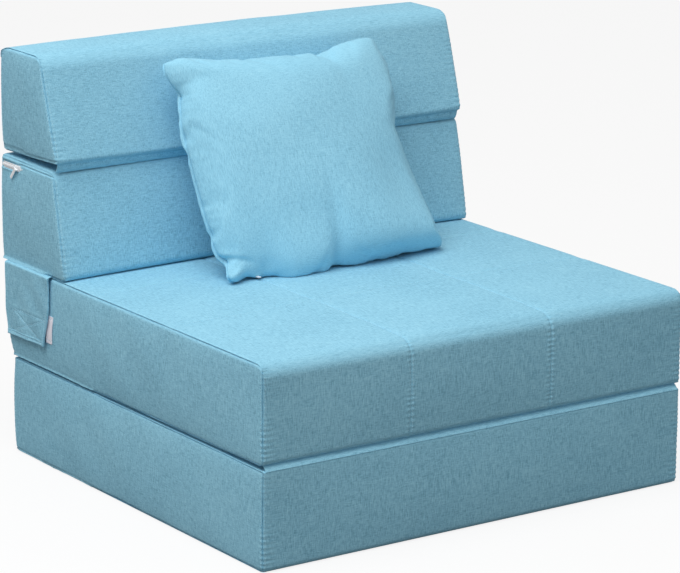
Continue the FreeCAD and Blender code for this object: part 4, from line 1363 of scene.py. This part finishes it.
def heather(name, turn=0.0, contrast=1.0, gain=1.0):
    """Heathered cloth: darker and lighter yarns running both ways on every face, woven fine. The
    weave can be turned about X, its contrast changed, and its brightness raised as painted light."""
    f = finish()
    material, tree, shader = fresh_material(name)
    links = tree.links
    place = tree.nodes.new("ShaderNodeTexCoord")
    turned = tree.nodes.new("ShaderNodeMapping")
    turned.inputs["Rotation"].default_value = (turn, 0, 0)
    links.new(place.outputs["Object"], turned.inputs["Vector"])
    facing = tree.nodes.new("ShaderNodeMapping")
    facing.vector_type = "NORMAL"
    facing.inputs["Rotation"].default_value = (turn, 0, 0)
    links.new(place.outputs["Normal"], facing.inputs["Vector"])
    split = tree.nodes.new("ShaderNodeSeparateXYZ")
    links.new(facing.outputs["Vector"], split.inputs["Vector"])
    where = turned.outputs["Vector"]
    total = 0.0
    for axis, weight in enumerate(YARN_WEIGHTS):
        scale = [1 / f.yarn_wide] * 3
        scale[axis] = 1 / f.yarn_long
        yarn = sum_of(tree, "SUBTRACT", grain(tree, where, scale, 3.1 * axis), 0.5)
        yarn = sum_of(tree, "MULTIPLY", yarn, weight)
        level = sum_of(tree, "SUBTRACT", 1.0, sum_of(tree, "ABSOLUTE", split.outputs[axis]))
        total = sum_of(tree, "MULTIPLY_ADD", yarn, level, total)
    fine = sum_of(tree, "SUBTRACT", grain(tree, where, [1 / FINE_GRAIN] * 3, 9.0), 0.5)
    cloud = sum_of(tree, "SUBTRACT", grain(tree, where, [CLOUDS] * 3, 5.0), 0.5)
    shade = sum_of(tree, "MULTIPLY_ADD", total, YARN_SHADE * contrast, 0.5)
    shade = sum_of(tree, "MULTIPLY_ADD", fine, FINE_SHADE * contrast, shade)
    shade = sum_of(tree, "MULTIPLY_ADD", cloud, CLOUD_SHADE * contrast, shade, clamp=True)
    # A gain over 1 paints light: it makes a lighter copy of the cloth.
    ramp(tree, shade, shader, [c * gain for c in f.cloth], HEATHER_STOPS)
    shader.inputs["Roughness"].default_value = 0.9
    shader.inputs["Sheen Weight"].default_value = 0.04
    shader.inputs["Sheen Roughness"].default_value = 0.5
    shader.inputs["Specular IOR Level"].default_value = 0.12
    relief(tree, shade, shader, 0.5, 0.0004)
    return material


def spun(name):
    """Sewing thread: twisted, a little lighter than the cloth."""
    material, tree, shader = fresh_material(name)
    ply = grain(tree, own_place(tree), [2600.0] * 3, 1.0)
    ramp(tree, ply, shader, finish().thread, ((0.3, (0.8, 0.85, 0.9)), (0.7, (1.1, 1.08, 1.05))))
    shader.inputs["Roughness"].default_value = 0.6
    shader.inputs["Sheen Weight"].default_value = 0.2
    return material


def moulded(name):
    """Painted zip metal and plastic, white, faintly uneven and worn."""
    material, tree, shader = fresh_material(name)
    spots = grain(tree, own_place(tree), [900.0] * 3, 1.0)
    ramp(tree, spots, shader, finish().white, ((0.25, (0.92, 0.92, 0.93)), (0.75, (1.06, 1.06, 1.05))))
    tree.links.new(sum_of(tree, "MULTIPLY_ADD", spots, 0.25, 0.25), shader.inputs["Roughness"])
    relief(tree, spots, shader, 0.2, 0.0001)
    return material


def tape_weave(name):
    """Woven zip tape: white with fine cross ribs."""
    material, tree, shader = fresh_material(name)
    ribs = tree.nodes.new("ShaderNodeTexWave")
    ribs.bands_direction = "DIAGONAL"
    ribs.inputs["Scale"].default_value = 340.0
    ribs.inputs["Distortion"].default_value = 1.0
    tree.links.new(own_place(tree), ribs.inputs["Vector"])
    ramp(tree, ribs.outputs["Fac"], shader, finish().white,
         ((0.0, (0.88, 0.88, 0.9)), (1.0, (1.04, 1.04, 1.04))))
    shader.inputs["Roughness"].default_value = 0.8
    relief(tree, ribs.outputs["Fac"], shader, 0.5, 0.0002)
    return material


def satin(name):
    """Label satin: pale lilac white with a fine cross rib and a soft gloss."""
    material, tree, shader = fresh_material(name)
    rib = grain(tree, own_place(tree), [300.0, 300.0, 5200.0], 1.0)
    ramp(tree, rib, shader, finish().white, ((0.25, (0.98, 0.92, 0.99)), (0.75, (1.05, 0.98, 1.0))))
    shader.inputs["Roughness"].default_value = 0.42
    shader.inputs["Sheen Weight"].default_value = 0.2
    relief(tree, rib, shader, 0.3, 0.0001)
    return material


def pile_finish(name):
    """Hook-and-loop pile in the cloth's colour."""
    material, tree, shader = fresh_material(name)
    tufts = grain(tree, own_place(tree), [1500.0] * 3, 2.0, 3.0)
    ramp(tree, tufts, shader, finish().cloth, ((0.3, (0.6, 0.66, 0.7)), (0.7, (1.15, 1.1, 1.05))))
    shader.inputs["Roughness"].default_value = 0.95
    shader.inputs["Sheen Weight"].default_value = 0.5
    relief(tree, tufts, shader, 1.0, 0.0006)
    return material


def cells(name, tint, scale):
    """Foam or fibre: pale and open-celled."""
    material, tree, shader = fresh_material(name)
    pores = tree.nodes.new("ShaderNodeTexVoronoi")
    pores.inputs["Scale"].default_value = scale
    tree.links.new(own_place(tree), pores.inputs["Vector"])
    ramp(tree, pores.outputs["Distance"], shader, tint, ((0.0, (0.78, 0.77, 0.74)), (0.8, (1, 1, 1))))
    shader.inputs["Roughness"].default_value = 0.95
    relief(tree, pores.outputs["Distance"], shader, 0.7, 0.0008)
    return material


def give(node_name, material):
    """Put a material on a CAD node."""
    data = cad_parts[node_name].data
    data.materials.clear()
    data.materials.append(material)


# Stage


SENSOR_WIDE = 36.0  # millimetres


def set_camera(scene):
    """The camera, turned as it stood for the photograph."""
    s = scene.chair_bed_stage
    bpy.ops.object.select_all(action="DESELECT")
    bpy.ops.object.camera_add(location=s.place)
    camera = bpy.context.object
    ahead = Vector((math.sin(s.yaw) * math.cos(s.pitch), math.cos(s.yaw) * math.cos(s.pitch),
                    -math.sin(s.pitch)))
    level = Vector((math.cos(s.yaw), -math.sin(s.yaw), 0))
    upward = level.cross(ahead)
    right = level * math.cos(s.roll) + upward * math.sin(s.roll)
    up = upward * math.cos(s.roll) - level * math.sin(s.roll)
    camera.rotation_euler = Matrix((right, up, -ahead)).transposed().to_euler()
    camera.data.lens = s.lens
    camera.data.sensor_width = SENSOR_WIDE
    scene.camera = camera
    scene.view_settings.view_transform = "Standard"


LAMP_PLACE = (-1.6, -0.75, 3.6)
LAMP_AIM = (0, 0, 0.3)
LAMP_WIDE = 2.6
LAMP_WATTS = 106.0
SKY_STRENGTH = 0.44


def set_lamps(scene):
    """One large soft lamp overhead and an even pale sky."""
    bpy.ops.object.light_add(type="AREA", location=LAMP_PLACE)
    lamp = bpy.context.object
    lamp.name = "overhead"
    lamp.data.shape = "SQUARE"
    lamp.data.size = LAMP_WIDE
    lamp.data.energy = LAMP_WATTS
    aim = Vector(LAMP_AIM) - lamp.location
    lamp.rotation_euler = aim.to_track_quat("-Z", "Y").to_euler()
    world = bpy.data.worlds.new("pale")
    scene.world = world
    world.use_nodes = True
    tree = world.node_tree
    sky = tree.nodes["Background"]
    sky.inputs["Color"].default_value = (1, 1, 1, 1)
    sky.inputs["Strength"].default_value = SKY_STRENGTH
    seen = tree.nodes.new("ShaderNodeBackground")
    seen.inputs["Color"].default_value = (1, 1, 1, 1)
    seen.inputs["Strength"].default_value = 1.0
    tree.links.new(seen_ray(tree), mixed(tree, sky, seen).inputs["Fac"])


def seen_ray(tree):
    """1 on rays that the camera, a reflection or a view through glass sends."""
    path = tree.nodes.new("ShaderNodeLightPath")
    first = sum_of(tree, "MAXIMUM", path.outputs["Is Camera Ray"], path.outputs["Is Glossy Ray"])
    return sum_of(tree, "MAXIMUM", first, path.outputs["Is Transmission Ray"])


def mixed(tree, first, second):
    """Mix two shaders into the tree's output."""
    mix = tree.nodes.new("ShaderNodeMixShader")
    tree.links.new(first.outputs[0], mix.inputs[1])
    tree.links.new(second.outputs[0], mix.inputs[2])
    output = next(n for n in tree.nodes if n.type in ("OUTPUT_MATERIAL", "OUTPUT_WORLD"))
    tree.links.new(mix.outputs[0], output.inputs["Surface"])
    return mix


FLOOR_TONE = 0.18  # how pale the floor is to the light that it throws back at the chair bed
FLOOR_SEEN = 0.70  # how much paler it is where it is seen
FLOOR_GLOW = 0.85  # share of plain white mixed in where it is seen


def set_floor():
    """A wide floor that the camera sees as white, with a soft trace of the shadow."""
    bpy.ops.object.select_all(action="DESELECT")
    bpy.ops.mesh.primitive_plane_add(size=40.0)
    floor = bpy.context.object
    floor.name = "floor"
    material, tree, shader = fresh_material("pale_floor")
    shader.inputs["Roughness"].default_value = 0.9
    seen = seen_ray(tree)
    tone = sum_of(tree, "MULTIPLY_ADD", seen, FLOOR_SEEN, FLOOR_TONE)
    tree.links.new(tone, shader.inputs["Base Color"])
    glow = tree.nodes.new("ShaderNodeEmission")
    glow.inputs["Strength"].default_value = 1.0
    share = sum_of(tree, "MULTIPLY", seen, FLOOR_GLOW)
    tree.links.new(share, mixed(tree, shader, glow).inputs["Fac"])
    floor.data.materials.append(material)


# Operators


class CHAIRBED_OT_blocks(bpy.types.Operator):
    """Make the covers of the four blocks with their stitches, and the foam inside them"""

    bl_idname = "chair_bed.blocks"
    bl_label = "Blocks"

    def execute(self, context):
        for name, block in block_table().items():
            cloth = cover(name, block)
            rows = corner_rows(cloth, block)
            if name == "seat":
                rows += quilting_rows(cloth)
            sewn(name + "_stitches", rows, name)
            foam(name, block)
        return {"FINISHED"}


class CHAIRBED_OT_zips(bpy.types.Operator):
    """Make the tapes and teeth of the blocks' zips, and finish sliders and pulls"""

    bl_idname = "chair_bed.zips"
    bl_label = "Zips"

    def execute(self, context):
        for name, block in block_table().items():
            zip_tape(name + "_zip", zip_run(block), name, trim().zip_wide)
        for name in (*block_table(), "pillow"):
            for tail in ("_zip_slider", "_zip_pull"):
                give(name + tail, once(moulded, "white_plastic"))
        return {"FINISHED"}


class CHAIRBED_OT_pillow(bpy.types.Operator):
    """Make the pillow's cover, its filling and its foot zip"""

    bl_idname = "chair_bed.pillow"
    bl_label = "Pillow"

    def execute(self, context):
        pillow_cloth()
        pillow_zip()
        return {"FINISHED"}


class CHAIRBED_OT_straps(bpy.types.Operator):
    """Make the two side straps and their hook and loop patches"""

    bl_idname = "chair_bed.straps"
    bl_label = "Straps"

    def execute(self, context):
        for word, side in (("left", -1), ("right", 1)):
            strap(word, side)
            patch(word + "_hook_patch", word + "_strap", 0.00025)
            patch(word + "_loop_patch", "seat", 0.00040)
        return {"FINISHED"}


class CHAIRBED_OT_label(bpy.types.Operator):
    """Make the bare label on the seat's side"""

    bl_idname = "chair_bed.label"
    bl_label = "Label"

    def execute(self, context):
        label()
        return {"FINISHED"}


class CHAIRBED_OT_folds(bpy.types.Operator):
    """Make the cloth folds that join the blocks"""

    bl_idname = "chair_bed.folds"
    bl_label = "Cloth folds"

    def execute(self, context):
        for name, (line, bodies, start, end) in fold_lines().items():
            fold(name, line)
        return {"FINISHED"}


class CHAIRBED_OT_stage(bpy.types.Operator):
    """Set the camera, lamps and floor"""

    bl_idname = "chair_bed.stage"
    bl_label = "Stage"

    def execute(self, context):
        set_camera(context.scene)
        set_lamps(context.scene)
        set_floor()
        return {"FINISHED"}


OPERATORS = (CHAIRBED_OT_blocks, CHAIRBED_OT_zips, CHAIRBED_OT_pillow, CHAIRBED_OT_straps,
             CHAIRBED_OT_label, CHAIRBED_OT_folds, CHAIRBED_OT_stage)
GROUPS = {
    "chair_bed_blocks": ChairBedBlocks,
    "chair_bed_pillow": ChairBedPillow,
    "chair_bed_trim": ChairBedTrim,
    "chair_bed_finish": ChairBedFinish,
    "chair_bed_stage": ChairBedStage,
}


class CHAIRBED_PT_panel(bpy.types.Panel):
    """The chair bed's steps and settings"""

    bl_label = "Chair Bed"
    bl_idname = "CHAIRBED_PT_panel"
    bl_space_type = "VIEW_3D"
    bl_region_type = "UI"
    bl_category = "Chair Bed"

    def draw(self, context):
        for operator in OPERATORS:
            self.layout.operator(operator.bl_idname)
        for group, kind in GROUPS.items():
            box = self.layout.box()
            box.label(text=kind.__doc__)
            for name in kind.__annotations__:
                box.prop(getattr(context.scene, group), name)


def register():
    for kind in (*GROUPS.values(), *OPERATORS, CHAIRBED_PT_panel):
        bpy.utils.register_class(kind)
    for group, kind in GROUPS.items():
        setattr(bpy.types.Scene, group, bpy.props.PointerProperty(type=kind))


def unregister():
    for group in GROUPS:
        delattr(bpy.types.Scene, group)
    for kind in reversed((*GROUPS.values(), *OPERATORS, CHAIRBED_PT_panel)):
        bpy.utils.unregister_class(kind)


def main():
    register()
    for operator in OPERATORS:
        getattr(bpy.ops.chair_bed, operator.bl_idname.split(".")[1])()


if __name__ == "__main__":
    main()
